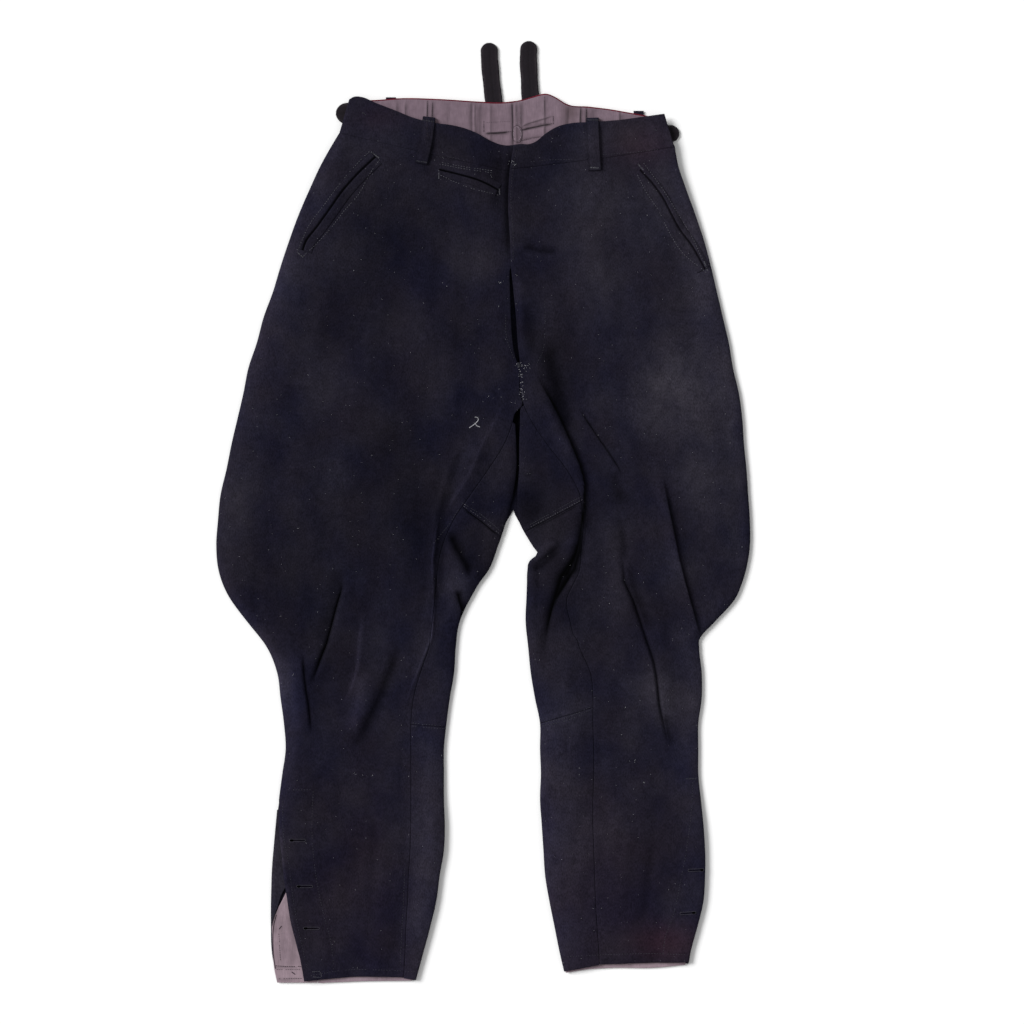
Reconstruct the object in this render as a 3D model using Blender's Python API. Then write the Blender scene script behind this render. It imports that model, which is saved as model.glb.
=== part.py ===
"""Riding breeches laid flat on their back, built as the separate pieces that are cut and sewn.

Sizes are millimetres in the garment's own frame and become metres when a mesh is made.
X runs to the wearer's left, Y runs from the hems to the waist, and Z runs up from the table.
The origin is under the middle of the whole outline, on the table.
"""

from collections import namedtuple

import bmesh
import bpy
import numpy as np
from mathutils import Vector
from mathutils.bvhtree import BVHTree

MM = 0.001

# Driving sizes
CLOTH = 1.8
LINING = 1.0
SEAM_GAP = 0.3
HALF_LENGTH = 557.0
WAISTBAND_HEIGHT = 36.0
BAND_LIFT = 2.8
LINING_LEVEL = 4.9
EDGE_ROUND = 18.0
SLOPE_CAP = 2.2
FRONT_ROWS = 46
FRONT_COLUMNS = 15
BACK_ROWS = 24
BACK_COLUMNS = 7
SMALL_CELL = 14.0
STRIP_STEP = 8.0
STRIP_CLEARANCE = 0.4
OUTER_WELT = 6.0
INNER_WELT = 10.0
WATCH_WELT = 7.0
WELT = 1.2
SLIT_WIDTH = 1.6
SLIT_FLOOR = 0.5
LOOP = 1.6
LOOP_OFFSETS = (-7.5, 0.0, 7.5)
FLY_LAP = 1.8
FLY_LAP_REACH = 14.0

Section = namedtuple("Section", "level outer seam inner")
Fold = namedtuple("Fold", "path height west east trough")
Finish = namedtuple("Finish", "colour roughness")

NAVY = Finish((0.014, 0.013, 0.022), 0.95)
MAUVE = Finish((0.17, 0.12, 0.15), 0.9)
TAPE = Finish((0.02, 0.017, 0.021), 0.9)

# Cuts of each leg by its level: side seam, front's inner seam, and the leg's inner edge
RIGHT_LEG = [
    Section(440, -174, 35, 35),
    Section(410, -191, 32, 32),
    Section(380, -205, 29, 29),
    Section(350, -218, 30, 30),
    Section(320, -229, 31, 31),
    Section(290, -239, 32, 32),
    Section(260, -248, 33, 33),
    Section(230, -259, 34, 34),
    Section(200, -267, 36, 36),
    Section(170, -277, 41, 41),
    Section(140, -283, 40, 40),
    Section(110, -290, 36, 38),
    Section(80, -297, 25, 39),
    Section(50, -303, 6, 39),
    Section(20, -310, -15, 35),
    Section(-10, -313, -35, 27),
    Section(-40, -315, -48, 17),
    Section(-70, -312, -54, 5),
    Section(-100, -300, -57, -10),
    Section(-130, -278, -60, -27),
    Section(-160, -255, -64, -33),
    Section(-190, -243, -74, -35),
    Section(-220, -239, -82, -40),
    Section(-250, -235, -85, -44),
    Section(-280, -233, -85, -47),
    Section(-310, -237, -85, -47),
    Section(-340, -241, -85, -47),
    Section(-370, -245, -85, -46),
    Section(-400, -248, -86, -47),
    Section(-430, -250, -88, -52),
    Section(-460, -251, -89, -56),
    Section(-490, -251, -91, -63),
    Section(-520, -250, -92, -71),
    Section(-557, -243, -94, -81),
]
LEFT_LEG = [
    Section(440, 225, 36, 36),
    Section(410, 230, 32, 32),
    Section(380, 240, 30, 30),
    Section(350, 251, 30, 30),
    Section(320, 261, 32, 32),
    Section(290, 269, 33, 33),
    Section(260, 276, 36, 36),
    Section(230, 283, 39, 39),
    Section(200, 290, 41, 41),
    Section(170, 295, 44, 44),
    Section(140, 302, 44, 44),
    Section(110, 306, 56, 44),
    Section(80, 308, 76, 43),
    Section(50, 311, 99, 43),
    Section(20, 313, 115, 41),
    Section(-10, 315, 117, 43),
    Section(-40, 315, 111, 59),
    Section(-70, 310, 105, 53),
    Section(-100, 299, 103, 52),
    Section(-130, 273, 106, 51),
    Section(-160, 256, 114, 54),
    Section(-190, 258, 127, 57),
    Section(-220, 258, 130, 62),
    Section(-250, 254, 130, 68),
    Section(-280, 254, 131, 68),
    Section(-310, 254, 131, 69),
    Section(-340, 257, 130, 68),
    Section(-370, 260, 130, 70),
    Section(-400, 262, 131, 72),
    Section(-430, 262, 132, 74),
    Section(-460, 260, 133, 79),
    Section(-490, 253, 135, 85),
    Section(-520, 245, 137, 91),
    Section(-550, 241, 139, 98),
]

# The right placket's free edge, which leaves the side seam and opens the ankle vent
VENT_EDGE = [(-241, -340), (-241, -375), (-237, -412), (-235, -433), (-232, -453),
             (-227, -485), (-221, -509), (-216, -529), (-211, -557)]
VENT_TOP = -340.0

# Loft of the leg's upper layer over the lower one, by level
LOFT = [(460, 1.5), (400, 2.5), (300, 3.9), (0, 3.9), (-200, 3.9), (-400, 3.4),
        (-500, 2.6), (-557, 1.5)]

# Main folds: crest or valley line, its height, its reach to each side, and a groove along it
FOLDS = {
    "left_crotch_valley": Fold(
        [(73, 179), (81, 132), (92, 103), (101, 81), (110, 67), (118, 47)], -5, 9, 24, 0),
    "left_thigh_overhang": Fold(
        [(116, 62), (122, 27), (123, 6), (119, -17), (116, -32), (111, -57),
         (98, -84), (85, -109), (79, -132), (72, -156)], 12, 9, 38, 0),
    "left_knee_hollow": Fold(
        [(104, 0), (99, -30), (92, -58), (80, -84), (72, -110)], -5, 14, 12, 0),
    "left_knee_crease": Fold(
        [(164, -39), (166, -66), (170, -86), (181, -111), (190, -136), (198, -159),
         (204, -179), (209, -197), (214, -238), (217, -263), (221, -282)], 5, 24, 28, 7),
    "left_thigh_crease": Fold([(118, 114), (132, 93), (143, 79), (150, 67)], 2, 16, 16, 4),
    "left_flare_overhang": Fold(
        [(215, 26), (227, -15), (235, -57), (240, -81), (247, -106), (251, -123),
         (255, -146)], 8, 40, 9, 0),
    "right_knee_crease": Fold(
        [(-163, -70), (-166, -86), (-173, -116), (-182, -143), (-188, -165),
         (-197, -185), (-202, -198)], 5, 20, 28, 7),
    "right_side_crease": Fold(
        [(-211, -175), (-208, -198), (-205, -225), (-206, -247), (-204, -258)], 3, 14, 16, 5),
    "right_inner_crease": Fold([(-110, -169), (-123, -203), (-140, -249), (-151, -271)],
                               3, 20, 22, 4),
    "right_thigh_valley": Fold(
        [(-24, 87), (-38, 34), (-45, 11), (-52, -14), (-57, -61), (-55, -98), (-57, -135)],
        -4, 15, 15, 0),
    "right_thigh_ridge": Fold([(-4, 87), (-20, 45), (-36, 5)], 4, 13, 18, 0),
}
GROOVE_WIDTH = 9.0

# Upper edges of the waist
FRONT_RIGHT_TOP = [(-158, 487), (-153, 490), (-143, 490), (-127, 483), (-104, 474), (-84, 466),
                   (-55, 459), (-39, 457), (-22, 453), (-7, 447), (9, 438), (24, 433), (35.7, 432)]
FRONT_LEFT_TOP = [(36, 433), (44, 434), (54, 434), (62, 437), (73, 446), (88, 455), (104, 459),
                  (123, 460), (138, 461), (162, 463), (185, 466), (214, 470)]
BACK_RIGHT_TOP = [(-156, 486), (-126, 487), (-98, 489), (-51, 488), (-4, 485), (20, 484),
                  (39.7, 486)]
BACK_LEFT_TOP = [(40, 486), (49, 488), (59, 491), (77, 494), (86, 490), (97, 483), (126, 479),
                 (150, 476), (173, 472), (195, 468), (213, 464)]
WAIST_SEAM = {"right": ((-170, 448), (31, 402)), "left": ((31.5, 405), (224, 432))}
CROTCH_LEVEL = 8.0
BACK_TOP = {"right": (446, 437), "left": (426, 436)}
BACK_HEM = {"right": (-557, -557), "left": (-538, -548)}
FRONT_HEM = {"right": (-555, -550), "left": (-534.5, -532)}
INNER_SEAM_ENDS = {"right": (402, -550), "left": (405, -534.5)}

MATERIALS = {}


def smooth(value, low, high):
    """A ramp from 0 at low to 1 at high with soft ends."""
    t = np.clip((np.asarray(value, float) - low) / (high - low), 0.0, 1.0)
    return t * t * (3.0 - 2.0 * t)


def curve(keys, values, at):
    """A cubic through (key, value) pairs with rising keys, read at the given places."""
    keys, values = np.asarray(keys, float), np.asarray(values, float)
    slopes = np.gradient(values, keys)
    at = np.clip(np.asarray(at, float), keys[0], keys[-1])
    k = np.clip(np.searchsorted(keys, at) - 1, 0, len(keys) - 2)
    span = keys[k + 1] - keys[k]
    t = (at - keys[k]) / span
    return ((2 * t**3 - 3 * t**2 + 1) * values[k] + (t**3 - 2 * t**2 + t) * span * slopes[k]
            + (3 * t**2 - 2 * t**3) * values[k + 1] + (t**3 - t**2) * span * slopes[k + 1])


def column(leg, name, level):
    """One named column of a leg's sections at any level."""
    rows = sorted(leg, key=lambda row: row.level)
    return curve([row.level for row in rows], [getattr(row, name) for row in rows], level)


def placket_edge(level):
    """The right front's outer edge: the side seam above the vent, the free edge below it."""
    rows = sorted(VENT_EDGE, key=lambda point: point[1])
    free = curve([point[1] for point in rows], [point[0] for point in rows], level)
    return np.where(np.asarray(level) < VENT_TOP, free, column(RIGHT_LEG, "outer", level))


def path_reach(path, x, y):
    """Distance to a path, the side of it (+1 is east) and the fraction of its length there."""
    path = np.asarray(path, float)
    lengths = np.hypot(*(path[1:] - path[:-1]).T)
    total, walked = lengths.sum(), 0.0
    best = np.full(x.shape, np.inf)
    side, along = np.ones(x.shape), np.zeros(x.shape)
    for start, end, length in zip(path[:-1], path[1:], lengths):
        run = (end - start) / length
        t = np.clip((x - start[0]) * run[0] + (y - start[1]) * run[1], 0.0, length)
        dx, dy = x - start[0] - t * run[0], y - start[1] - t * run[1]
        distance = np.hypot(dx, dy)
        nearer = distance < best
        best = np.where(nearer, distance, best)
        side = np.where(nearer, np.sign(run[0] * dy - run[1] * dx), side)
        along = np.where(nearer, (walked + t) / total, along)
        walked += length
    return best, side, along


def fold_height(x, y):
    """The folds' share of the upper layer's height."""
    height = np.zeros(x.shape)
    for fold in FOLDS.values():
        distance, side, along = path_reach(fold.path, x, y)
        reach = np.where(side > 0, fold.east, fold.west)
        fade = smooth(along, 0.0, 0.2) * smooth(1.0 - along, 0.0, 0.25)
        height += fade * fold.height * np.exp(-((distance / reach) ** 2))
        height -= fade * fold.trough * np.exp(-((distance / GROOVE_WIDTH) ** 2))
    return height


def rounded_edge(distance):
    """A quarter round that rises from 0 at a folded edge to 1 inside it."""
    inward = 1.0 - np.clip(distance / EDGE_ROUND, 0.0, 1.0)
    return np.sqrt(1.0 - inward**2)


def back_height(x, y):
    """Underside of the lower layer: on the table, lifted at the waist by what is sewn under it."""
    return BAND_LIFT * smooth(y, 350, 425) + 0.0 * x


def front_height(x, y, leg):
    """Underside of the upper layer: loft between its edges, with the folds."""
    x, y = np.broadcast_arrays(np.asarray(x, float), np.asarray(y, float))
    base = CLOTH + SEAM_GAP + 4.2 * smooth(y, 300, 425) + 1.7 * smooth(-y, 310, 380)
    outer, inner = column(leg, "outer", y), column(leg, "inner", y)
    loft_rows = sorted(LOFT)
    loft = curve([row[0] for row in loft_rows], [row[1] for row in loft_rows], y)
    parting = smooth(-y, -180, 0)
    rim = rounded_edge(np.abs(x - outer))
    centre = 1.0 - parting * (1.0 - rounded_edge(np.abs(x - inner)))
    folds = fold_height(x, y) * smooth(np.abs(x - outer), 0, 14) * (
        1.0 - parting * (1.0 - smooth(np.abs(x - inner), 0, 14)))
    return np.maximum(base + loft * rim * centre + folds, base)


def material(name, finish):
    """A plain cloth finish, made once for each name."""
    if name not in MATERIALS:
        made = bpy.data.materials.new(name)
        made.use_nodes = True
        shader = made.node_tree.nodes["Principled BSDF"]
        shader.inputs["Base Color"].default_value = (*finish.colour, 1.0)
        shader.inputs["Roughness"].default_value = finish.roughness
        shader.inputs["Metallic"].default_value = 0.0
        made.diffuse_color = (*finish.colour, 1.0)
        MATERIALS[name] = made
    return MATERIALS[name]


def walled(name, plan, low, high, finish):
    """A closed wall over a grid of plan points, between its lower and upper heights."""
    rows, across = plan.shape[:2]
    mesh = bmesh.new()
    layers = []
    for height in (low, high):
        points = np.dstack([plan, height]) * MM
        layers.append([[mesh.verts.new(points[r, c]) for c in range(across)] for r in range(rows)])
    below, above = layers
    for r in range(rows - 1):
        for c in range(across - 1):
            mesh.faces.new((above[r][c], above[r + 1][c], above[r + 1][c + 1], above[r][c + 1]))
            mesh.faces.new((below[r][c], below[r][c + 1], below[r + 1][c + 1], below[r + 1][c]))
    rim = ([(r, 0) for r in range(rows)] + [(rows - 1, c) for c in range(1, across)]
           + [(r, across - 1) for r in range(rows - 2, -1, -1)]
           + [(0, c) for c in range(across - 2, 0, -1)])
    for (r0, c0), (r1, c1) in zip(rim, rim[1:] + rim[:1]):
        mesh.faces.new((below[r0][c0], below[r1][c1], above[r1][c1], above[r0][c0]))
    bmesh.ops.recalc_face_normals(mesh, faces=mesh.faces)
    data = bpy.data.meshes.new(name)
    mesh.to_mesh(data)
    mesh.free()
    data.shade_smooth()
    data.set_sharp_from_angle(angle=0.9)
    made = bpy.data.objects.new(name, data)
    bpy.context.scene.collection.objects.link(made)
    made.data.materials.append(material(f"{name}_cloth", finish))
    return made


def ruled_plan(first, second, places, across):
    """Straight lines from one edge to the other: both edges are functions of a 0 to 1 place."""
    start, end = first(places), second(places)
    share = np.linspace(0.0, 1.0, across + 1)[None, :, None]
    return start[:, None, :] * (1.0 - share) + end[:, None, :] * share


def leg_edge(leg, name, top, bottom, shift=0.0):
    """A panel's edge that follows one column of the sections between two levels."""
    def edge(t):
        levels = top + (bottom - top) * t
        return np.column_stack([column(leg, name, levels) + shift, levels])
    return edge


def front_seam_levels(side):
    """The levels of a front panel's rows at its inner seam, rising."""
    return np.linspace(*INNER_SEAM_ENDS[side], FRONT_ROWS + 1)[::-1]


def seam_edge(side, leg, top, bottom, shift):
    """An edge that follows the straight stitches of the front's inner seam."""
    rows = front_seam_levels(side)

    def edge(t):
        levels = top + (bottom - top) * t
        return np.column_stack([np.interp(levels, rows, column(leg, "seam", rows)) + shift, levels])
    return edge


def seam_places(side, top, bottom):
    """Places along a seam edge that meet the front panel's own rows."""
    rows = front_seam_levels(side)[::-1]
    inside = rows[(rows < top - 2.0) & (rows > bottom + 2.0)]
    return np.concatenate([[0.0], (top - inside) / (top - bottom), [1.0]])


def point_edge(points, shift=(0.0, 0.0)):
    """An edge through a few points, read along whichever way it runs further."""
    points = np.asarray(points, float) + np.asarray(shift)
    along = 0 if np.ptp(points[:, 0]) > np.ptp(points[:, 1]) else 1
    order = np.argsort(points[:, along])
    keys, values = points[order, along], points[order, 1 - along]
    first, last = points[0, along], points[-1, along]

    def edge(t):
        at = first + (last - first) * t
        other = curve(keys, values, at) if len(keys) > 2 else np.interp(at, keys, values)
        return np.column_stack([at, other] if along == 0 else [other, at])
    return edge


def slope_wall(height_at, plan, thickness):
    """Lower and upper heights of a cloth wall, thicker upright where the cloth is steep."""
    x, y = plan[..., 0], plan[..., 1]
    low = height_at(x, y)
    east = (height_at(x + 1.0, y) - height_at(x - 1.0, y)) / 2.0
    north = (height_at(x, y + 1.0) - height_at(x, y - 1.0)) / 2.0
    upright = np.minimum(np.sqrt(1.0 + east**2 + north**2), SLOPE_CAP)
    return low, low + thickness * upright


def even_places(first, second, cell):
    """Even places along two edges, and a count of cells across, for cells of about this size."""
    ends = np.linspace(0.0, 1.0, 40)
    start, end = first(ends), second(ends)
    long_side = max(np.hypot(*np.diff(side, axis=0).T).sum() for side in (start, end))
    wide_side = np.hypot(*(end - start).T).max()
    places = np.linspace(0.0, 1.0, max(2, round(long_side / cell)) + 1)
    return places, max(2, round(wide_side / cell))


def cloth_panel(name, first, second, cells, height_at, finish=NAVY, thickness=CLOTH):
    """A panel of cloth between two edges. Its cells are a size, or row places and a count across."""
    places, across = cells if isinstance(cells, tuple) else even_places(first, second, cells)
    plan = ruled_plan(first, second, places, across)
    low, high = slope_wall(height_at, plan, thickness)
    return walled(name, plan, low, high, finish)


def flat_height(level):
    """The same height everywhere."""
    return lambda x, y: level + 0.0 * x


def fly_overlap(from_fly):
    """How far the left side stands over the right one beside the fly's edge."""
    return FLY_LAP * np.exp(-from_fly / FLY_LAP_REACH)


def leg_height(leg):
    """The upper layer's height over one leg."""
    return lambda x, y: front_height(x, y, leg)


def surface_of(*panels):
    """A function that reads the upper surface of finished panels, the highest nearby."""
    trees = []
    for panel in panels:
        trees.append(BVHTree.FromPolygons([v.co for v in panel.data.vertices],
                                          [p.vertices for p in panel.data.polygons]))
    reach = 3.0
    around = [(0, 0), (reach, 0), (-reach, 0), (0, reach), (0, -reach)]

    def height(x, y):
        found = np.full(x.shape, -np.inf)
        for index in np.ndindex(x.shape):
            for dx, dy in around:
                origin = Vector(((x[index] + dx) * MM, (y[index] + dy) * MM, 1.0))
                for tree in trees:
                    hit = tree.ray_cast(origin, Vector((0.0, 0.0, -1.0)))[0]
                    if hit is not None:
                        found[index] = max(found[index], hit.z / MM)
        return found
    return height


def strip(name, centre, profile, lying_on, raised=0.0):
    """A narrow strip of cloth sewn on top of finished panels.

    Each profile row holds an offset from the centre line and the strip's thickness there.
    """
    centre = np.asarray(centre, float)
    length = np.hypot(*np.diff(centre, axis=0).T).sum()
    rows = max(3, round(length / STRIP_STEP))
    t = np.linspace(0.0, 1.0, rows + 1)
    middle = point_edge(centre)(t)
    run = np.gradient(middle, axis=0)
    run /= np.hypot(run[:, 0], run[:, 1])[:, None]
    across = np.column_stack([run[:, 1], -run[:, 0]])
    offsets, thickness = np.array(profile, float).T
    plan = middle[:, None, :] + across[:, None, :] * offsets[None, :, None]
    crown = raised * np.sin(np.pi * t)[:, None] * (1.0 - 0.4 * np.abs(offsets / offsets.max()))
    low = lying_on(plan[..., 0], plan[..., 1]) + STRIP_CLEARANCE + crown
    return walled(name, plan, low, low + thickness, NAVY)


def mouth_profile(first, second):
    """Two welts of these widths, joined along the bottom of the slit between them."""
    half = SLIT_WIDTH / 2.0
    offsets = [-half - first, -half - first / 2.0, -half, 0.0, half, half + second / 2.0,
               half + second]
    return [(offset, WELT if offset else SLIT_FLOOR) for offset in offsets]


def tab(name, base, tip, width, thickness, level):
    """A flat tab on the table with a rounded free end, lying under the waistband's edge."""
    base, tip = np.asarray(base, float), np.asarray(tip, float)
    run = (tip - base) / np.hypot(*(tip - base))
    across = np.array([run[1], -run[0]])
    length = np.hypot(*(tip - base))
    straight = np.linspace(0.0, length - width / 2, 5)
    turn = np.radians([20.0, 40.0, 60.0, 78.0])
    along = np.concatenate([straight, length - width / 2 * (1.0 - np.sin(turn))])
    half = np.concatenate([np.full(5, width / 2), width / 2 * np.cos(turn)])
    offsets = np.array([-1.0, 0.0, 1.0])
    plan = (base + along[:, None, None] * run
            + (half[:, None] * offsets)[:, :, None] * across)
    low = np.full(plan.shape[:2], level)
    return walled(name, plan, low, low + thickness, TAPE)


def back_inner_edge(side, leg, top, bottom):
    """The back panel's inner edge: the centre back seam above the crotch, the leg below it."""
    inward = -SEAM_GAP if side == "right" else SEAM_GAP

    def edge(t):
        levels = top + (bottom - top) * t
        own = column(leg, "inner", levels)
        middle = (column(RIGHT_LEG, "inner", levels) + column(LEFT_LEG, "inner", levels)) / 2.0
        return np.column_stack([np.where(levels > CROTCH_LEVEL, middle, own) + inward, levels])
    return edge


def build_back(side, leg):
    """The back panel of one leg: flat on the table from the waist seam to the hem."""
    outer_top, inner_top = BACK_TOP[side]
    outer_hem, inner_hem = BACK_HEM[side]
    cells = (np.linspace(0.0, 1.0, BACK_ROWS + 1), BACK_COLUMNS)
    cloth_panel(f"back_{side}", leg_edge(leg, "outer", outer_top, outer_hem),
                back_inner_edge(side, leg, inner_top, inner_hem), cells, back_height)


def build_fronts():
    """The two front panels, from the waist seam to the hem."""
    waist, hem = WAIST_SEAM["right"][0][1], FRONT_HEM["right"][0]

    def right_outer(t):
        levels = waist + (hem - waist) * t
        return np.column_stack([placket_edge(levels), levels])

    def left_height(x, y):
        from_fly = np.abs(x - column(LEFT_LEG, "seam", y))
        return front_height(x, y, LEFT_LEG) + fly_overlap(from_fly) * smooth(y, 180, 260)

    cells = (np.linspace(0.0, 1.0, FRONT_ROWS + 1), FRONT_COLUMNS)
    right = cloth_panel("front_right", right_outer,
                        leg_edge(RIGHT_LEG, "seam", *INNER_SEAM_ENDS["right"], -SEAM_GAP),
                        cells, leg_height(RIGHT_LEG))
    left = cloth_panel("front_left",
                       leg_edge(LEFT_LEG, "seam", *INNER_SEAM_ENDS["left"], SEAM_GAP),
                       leg_edge(LEFT_LEG, "outer", WAIST_SEAM["left"][1][1], FRONT_HEM["left"][1]),
                       cells, left_height)
    return {"right": right, "left": left}


def build_inner_leg(side, leg):
    """Seat patch, inner thigh and inner calf: what the back shows inside the front's seam.

    Each row holds a piece's top and bottom levels at the front's seam, then at the inner edge.
    """
    height = leg_height(leg)
    pieces = {
        "right": {"saddle_patch": ((106, 6.5), (104, -29)),
                  "inner_thigh": ((6, -251), (-29.5, -254)),
                  "inner_calf": ((-251.5, -551), (-254.5, -553))},
        "left": {"saddle_patch": ((126, 12.5), (124, -23.5)),
                 "inner_thigh": ((12, -231), (-24, -249.5)),
                 "inner_calf": ((-231.5, -535), (-250, -543))},
    }[side]
    inward = SEAM_GAP if side == "right" else -SEAM_GAP
    for name, (at_seam, at_edge) in pieces.items():
        seam = seam_edge(side, leg, *at_seam, inward)
        edge = leg_edge(leg, "inner", *at_edge, -inward)
        places = seam_places(side, *at_seam)
        across = even_places(seam, edge, SMALL_CELL)[1]
        cloth_panel(f"{name}_{side}", seam, edge, (places, across), height)


def build_waistbands():
    """Front bands over the mouth, back bands and their lining under it."""
    def left_height(x, y):
        from_fly = np.abs(x - WAIST_SEAM["left"][0][0])
        return front_height(x, y, LEFT_LEG) + fly_overlap(from_fly)

    bands = {}
    for side, top, height in (("right", FRONT_RIGHT_TOP, leg_height(RIGHT_LEG)),
                              ("left", FRONT_LEFT_TOP, left_height)):
        bands[side] = cloth_panel(f"waistband_front_{side}",
                                  point_edge(WAIST_SEAM[side], (0.0, SEAM_GAP)),
                                  point_edge(top), SMALL_CELL, height)
    for side, top in (("right", BACK_RIGHT_TOP), ("left", BACK_LEFT_TOP)):
        cloth_panel(f"waistband_back_{side}",
                    point_edge(top, (0.0, -WAISTBAND_HEIGHT)), point_edge(top),
                    SMALL_CELL * 1.6, flat_height(BAND_LIFT))
    lining_top = [(x, y - 1.5) for x, y in BACK_RIGHT_TOP[:-1] + BACK_LEFT_TOP[1:]]
    lining_foot = [(-166, 437), (36, 402), (223, 425)]
    cloth_panel("waist_lining", point_edge(lining_foot), point_edge(lining_top),
                SMALL_CELL * 1.3, flat_height(LINING_LEVEL), MAUVE, LINING)
    return bands


def build_pockets(fronts):
    """Jetted pocket mouths: two narrow welts with a slit between them."""
    slits = {
        "right": [(-127, 419), (-146, 401), (-164, 381), (-182, 356), (-196, 337),
                  (-209, 320), (-213, 309)],
        "left": [(185, 404), (202, 385), (212, 371), (221, 354), (232, 334),
                 (247, 314), (255, 300), (262, 287)],
    }
    widths = {"right": (INNER_WELT, OUTER_WELT), "left": (OUTER_WELT, INNER_WELT)}
    for side, line in slits.items():
        strip(f"slant_pocket_{side}", line, mouth_profile(*widths[side]),
              surface_of(fronts[side]))
    strip("watch_pocket", [(-52, 404), (-27, 398), (-4, 391), (9, 385), (18, 380)],
          mouth_profile(WATCH_WELT, WATCH_WELT), surface_of(fronts["right"]))


def build_loops_and_tabs(fronts, bands):
    """Belt loops, waist adjuster tabs and the brace tabs that stand above the back."""
    loops = {"right": [(-65, 458), (-67, 438), (-73, 412)],
             "left": [(129, 457), (130, 434), (132, 404)]}
    for side, line in loops.items():
        strip(f"belt_loop_front_{side}", line, [(x, LOOP) for x in LOOP_OFFSETS],
              surface_of(fronts[side], bands[side]), raised=1.2)
    half, level = LOOP_OFFSETS[-1] * 0.8, 0.4
    for side, x, foot, top in (("right", -109, 448, 490.5), ("left", 184, 434, 474.5)):
        cloth_panel(f"belt_loop_back_{side}",
                    point_edge([(x - half, foot), (x - half, top)]),
                    point_edge([(x + half, foot), (x + half, top)]),
                    SMALL_CELL, flat_height(level), NAVY, BAND_LIFT - SEAM_GAP - level)
    tab("brace_tab_right", (9, 456), (7.5, HALF_LENGTH - 2), 20.0, 2.4, 0.0)
    tab("brace_tab_left", (58, 460), (54, HALF_LENGTH), 21.0, 2.4, 0.0)
    tab("adjuster_tab_right", (-118, 470), (-174, 472), 25.0, 2.3, 0.2)
    tab("adjuster_tab_left", (194, 449), (232, 447), 20.0, 2.3, 0.2)


def build_ankles():
    """Inside of the open vent, its button stand, and the facings that show at the hems."""
    cloth_panel("vent_lining_right",
                point_edge([(-233, -453), (-239, -469), (-246, -486), (-249.3, -500),
                            (-248.5, -523), (-247, -540), (-243.5, -556.5)]),
                point_edge([(-196, -453), (-196, -556.5)]),
                SMALL_CELL * 1.2, flat_height(CLOTH + SEAM_GAP), MAUVE, LINING)
    cloth_panel("button_stand_right",
                point_edge([(-243.5, -352), (-247, -390), (-249.5, -420), (-250.5, -450),
                            (-250.5, -478), (-250.3, -490)]),
                point_edge([(-212, -352), (-210, -390), (-214, -420), (-236, -448),
                            (-244, -470), (-249.6, -484)]),
                SMALL_CELL, flat_height(CLOTH + SEAM_GAP), NAVY, 1.2)
    cloth_panel("hem_facing_right", point_edge([(-195, -530), (-87, -530)]),
                point_edge([(-195, -HALF_LENGTH), (-140, -555.5), (-84, -554.5)]),
                SMALL_CELL * 1.4, flat_height(CLOTH + SEAM_GAP), MAUVE, LINING)
    cloth_panel("hem_facing_left", point_edge([(96, -522), (242, -516)]),
                point_edge([(98, -547), (140, -540), (241, -537)]),
                SMALL_CELL * 1.4, flat_height(CLOTH + SEAM_GAP), MAUVE, LINING)


def clear_scene():
    """Removes whatever the scene holds at the start."""
    for old in list(bpy.data.objects):
        bpy.data.objects.remove(old, do_unlink=True)


def main():
    clear_scene()
    for side, leg in (("right", RIGHT_LEG), ("left", LEFT_LEG)):
        build_back(side, leg)
    fronts = build_fronts()
    build_inner_leg("right", RIGHT_LEG)
    build_inner_leg("left", LEFT_LEG)
    bands = build_waistbands()
    build_pockets(fronts)
    build_loops_and_tabs(fronts, bands)
    build_ankles()


main()
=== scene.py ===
"""Looks of navy riding breeches that lie flat on their back, cloth piece by cloth piece.

Sizes are millimetres in the garment's own frame and become metres when a mesh is made. X runs
to the wearer's left, Y from the hems to the waist and Z up from the table.
"""
import logging
from dataclasses import dataclass, field
from enum import Enum
from typing import Callable, Sequence

import bpy
import numpy as np
from mathutils import Matrix, Vector
from mathutils.bvhtree import BVHTree


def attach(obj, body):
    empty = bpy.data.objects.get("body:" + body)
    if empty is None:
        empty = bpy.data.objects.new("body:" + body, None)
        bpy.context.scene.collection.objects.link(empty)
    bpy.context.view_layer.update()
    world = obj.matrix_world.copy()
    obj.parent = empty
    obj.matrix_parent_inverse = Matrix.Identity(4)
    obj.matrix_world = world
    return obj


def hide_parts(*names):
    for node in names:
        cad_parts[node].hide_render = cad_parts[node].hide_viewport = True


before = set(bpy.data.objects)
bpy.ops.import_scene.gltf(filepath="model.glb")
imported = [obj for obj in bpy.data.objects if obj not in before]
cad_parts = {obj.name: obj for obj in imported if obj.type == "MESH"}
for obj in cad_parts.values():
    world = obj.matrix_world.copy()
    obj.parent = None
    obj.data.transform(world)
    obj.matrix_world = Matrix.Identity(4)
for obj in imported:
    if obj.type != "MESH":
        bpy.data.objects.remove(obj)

LOG = logging.getLogger("breeches")
MM = 0.001
Point = tuple[float, float]
Edge = Callable[[np.ndarray], np.ndarray]
Marks = dict[str, np.ndarray]


class Side(Enum):
    """The wearer's right or left."""

    RIGHT = "right"
    LEFT = "left"


class Slot(Enum):
    """The record's material slots."""

    WOOL = "navy_wool"
    TWILL = "mauve_twill"
    TAPE = "dark_tape"


def ramp(value: np.ndarray | float, low: float, high: float) -> np.ndarray:
    """A rise from 0 at low to 1 at high with soft ends."""
    t = np.clip((np.asarray(value, float) - low) / (high - low), 0.0, 1.0)
    return t * t * (3.0 - 2.0 * t)


def bell(value: np.ndarray, reach: np.ndarray | float) -> np.ndarray:
    """1 at 0, fading softly beyond the reach."""
    return np.exp(-((value / reach) ** 2))


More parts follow.
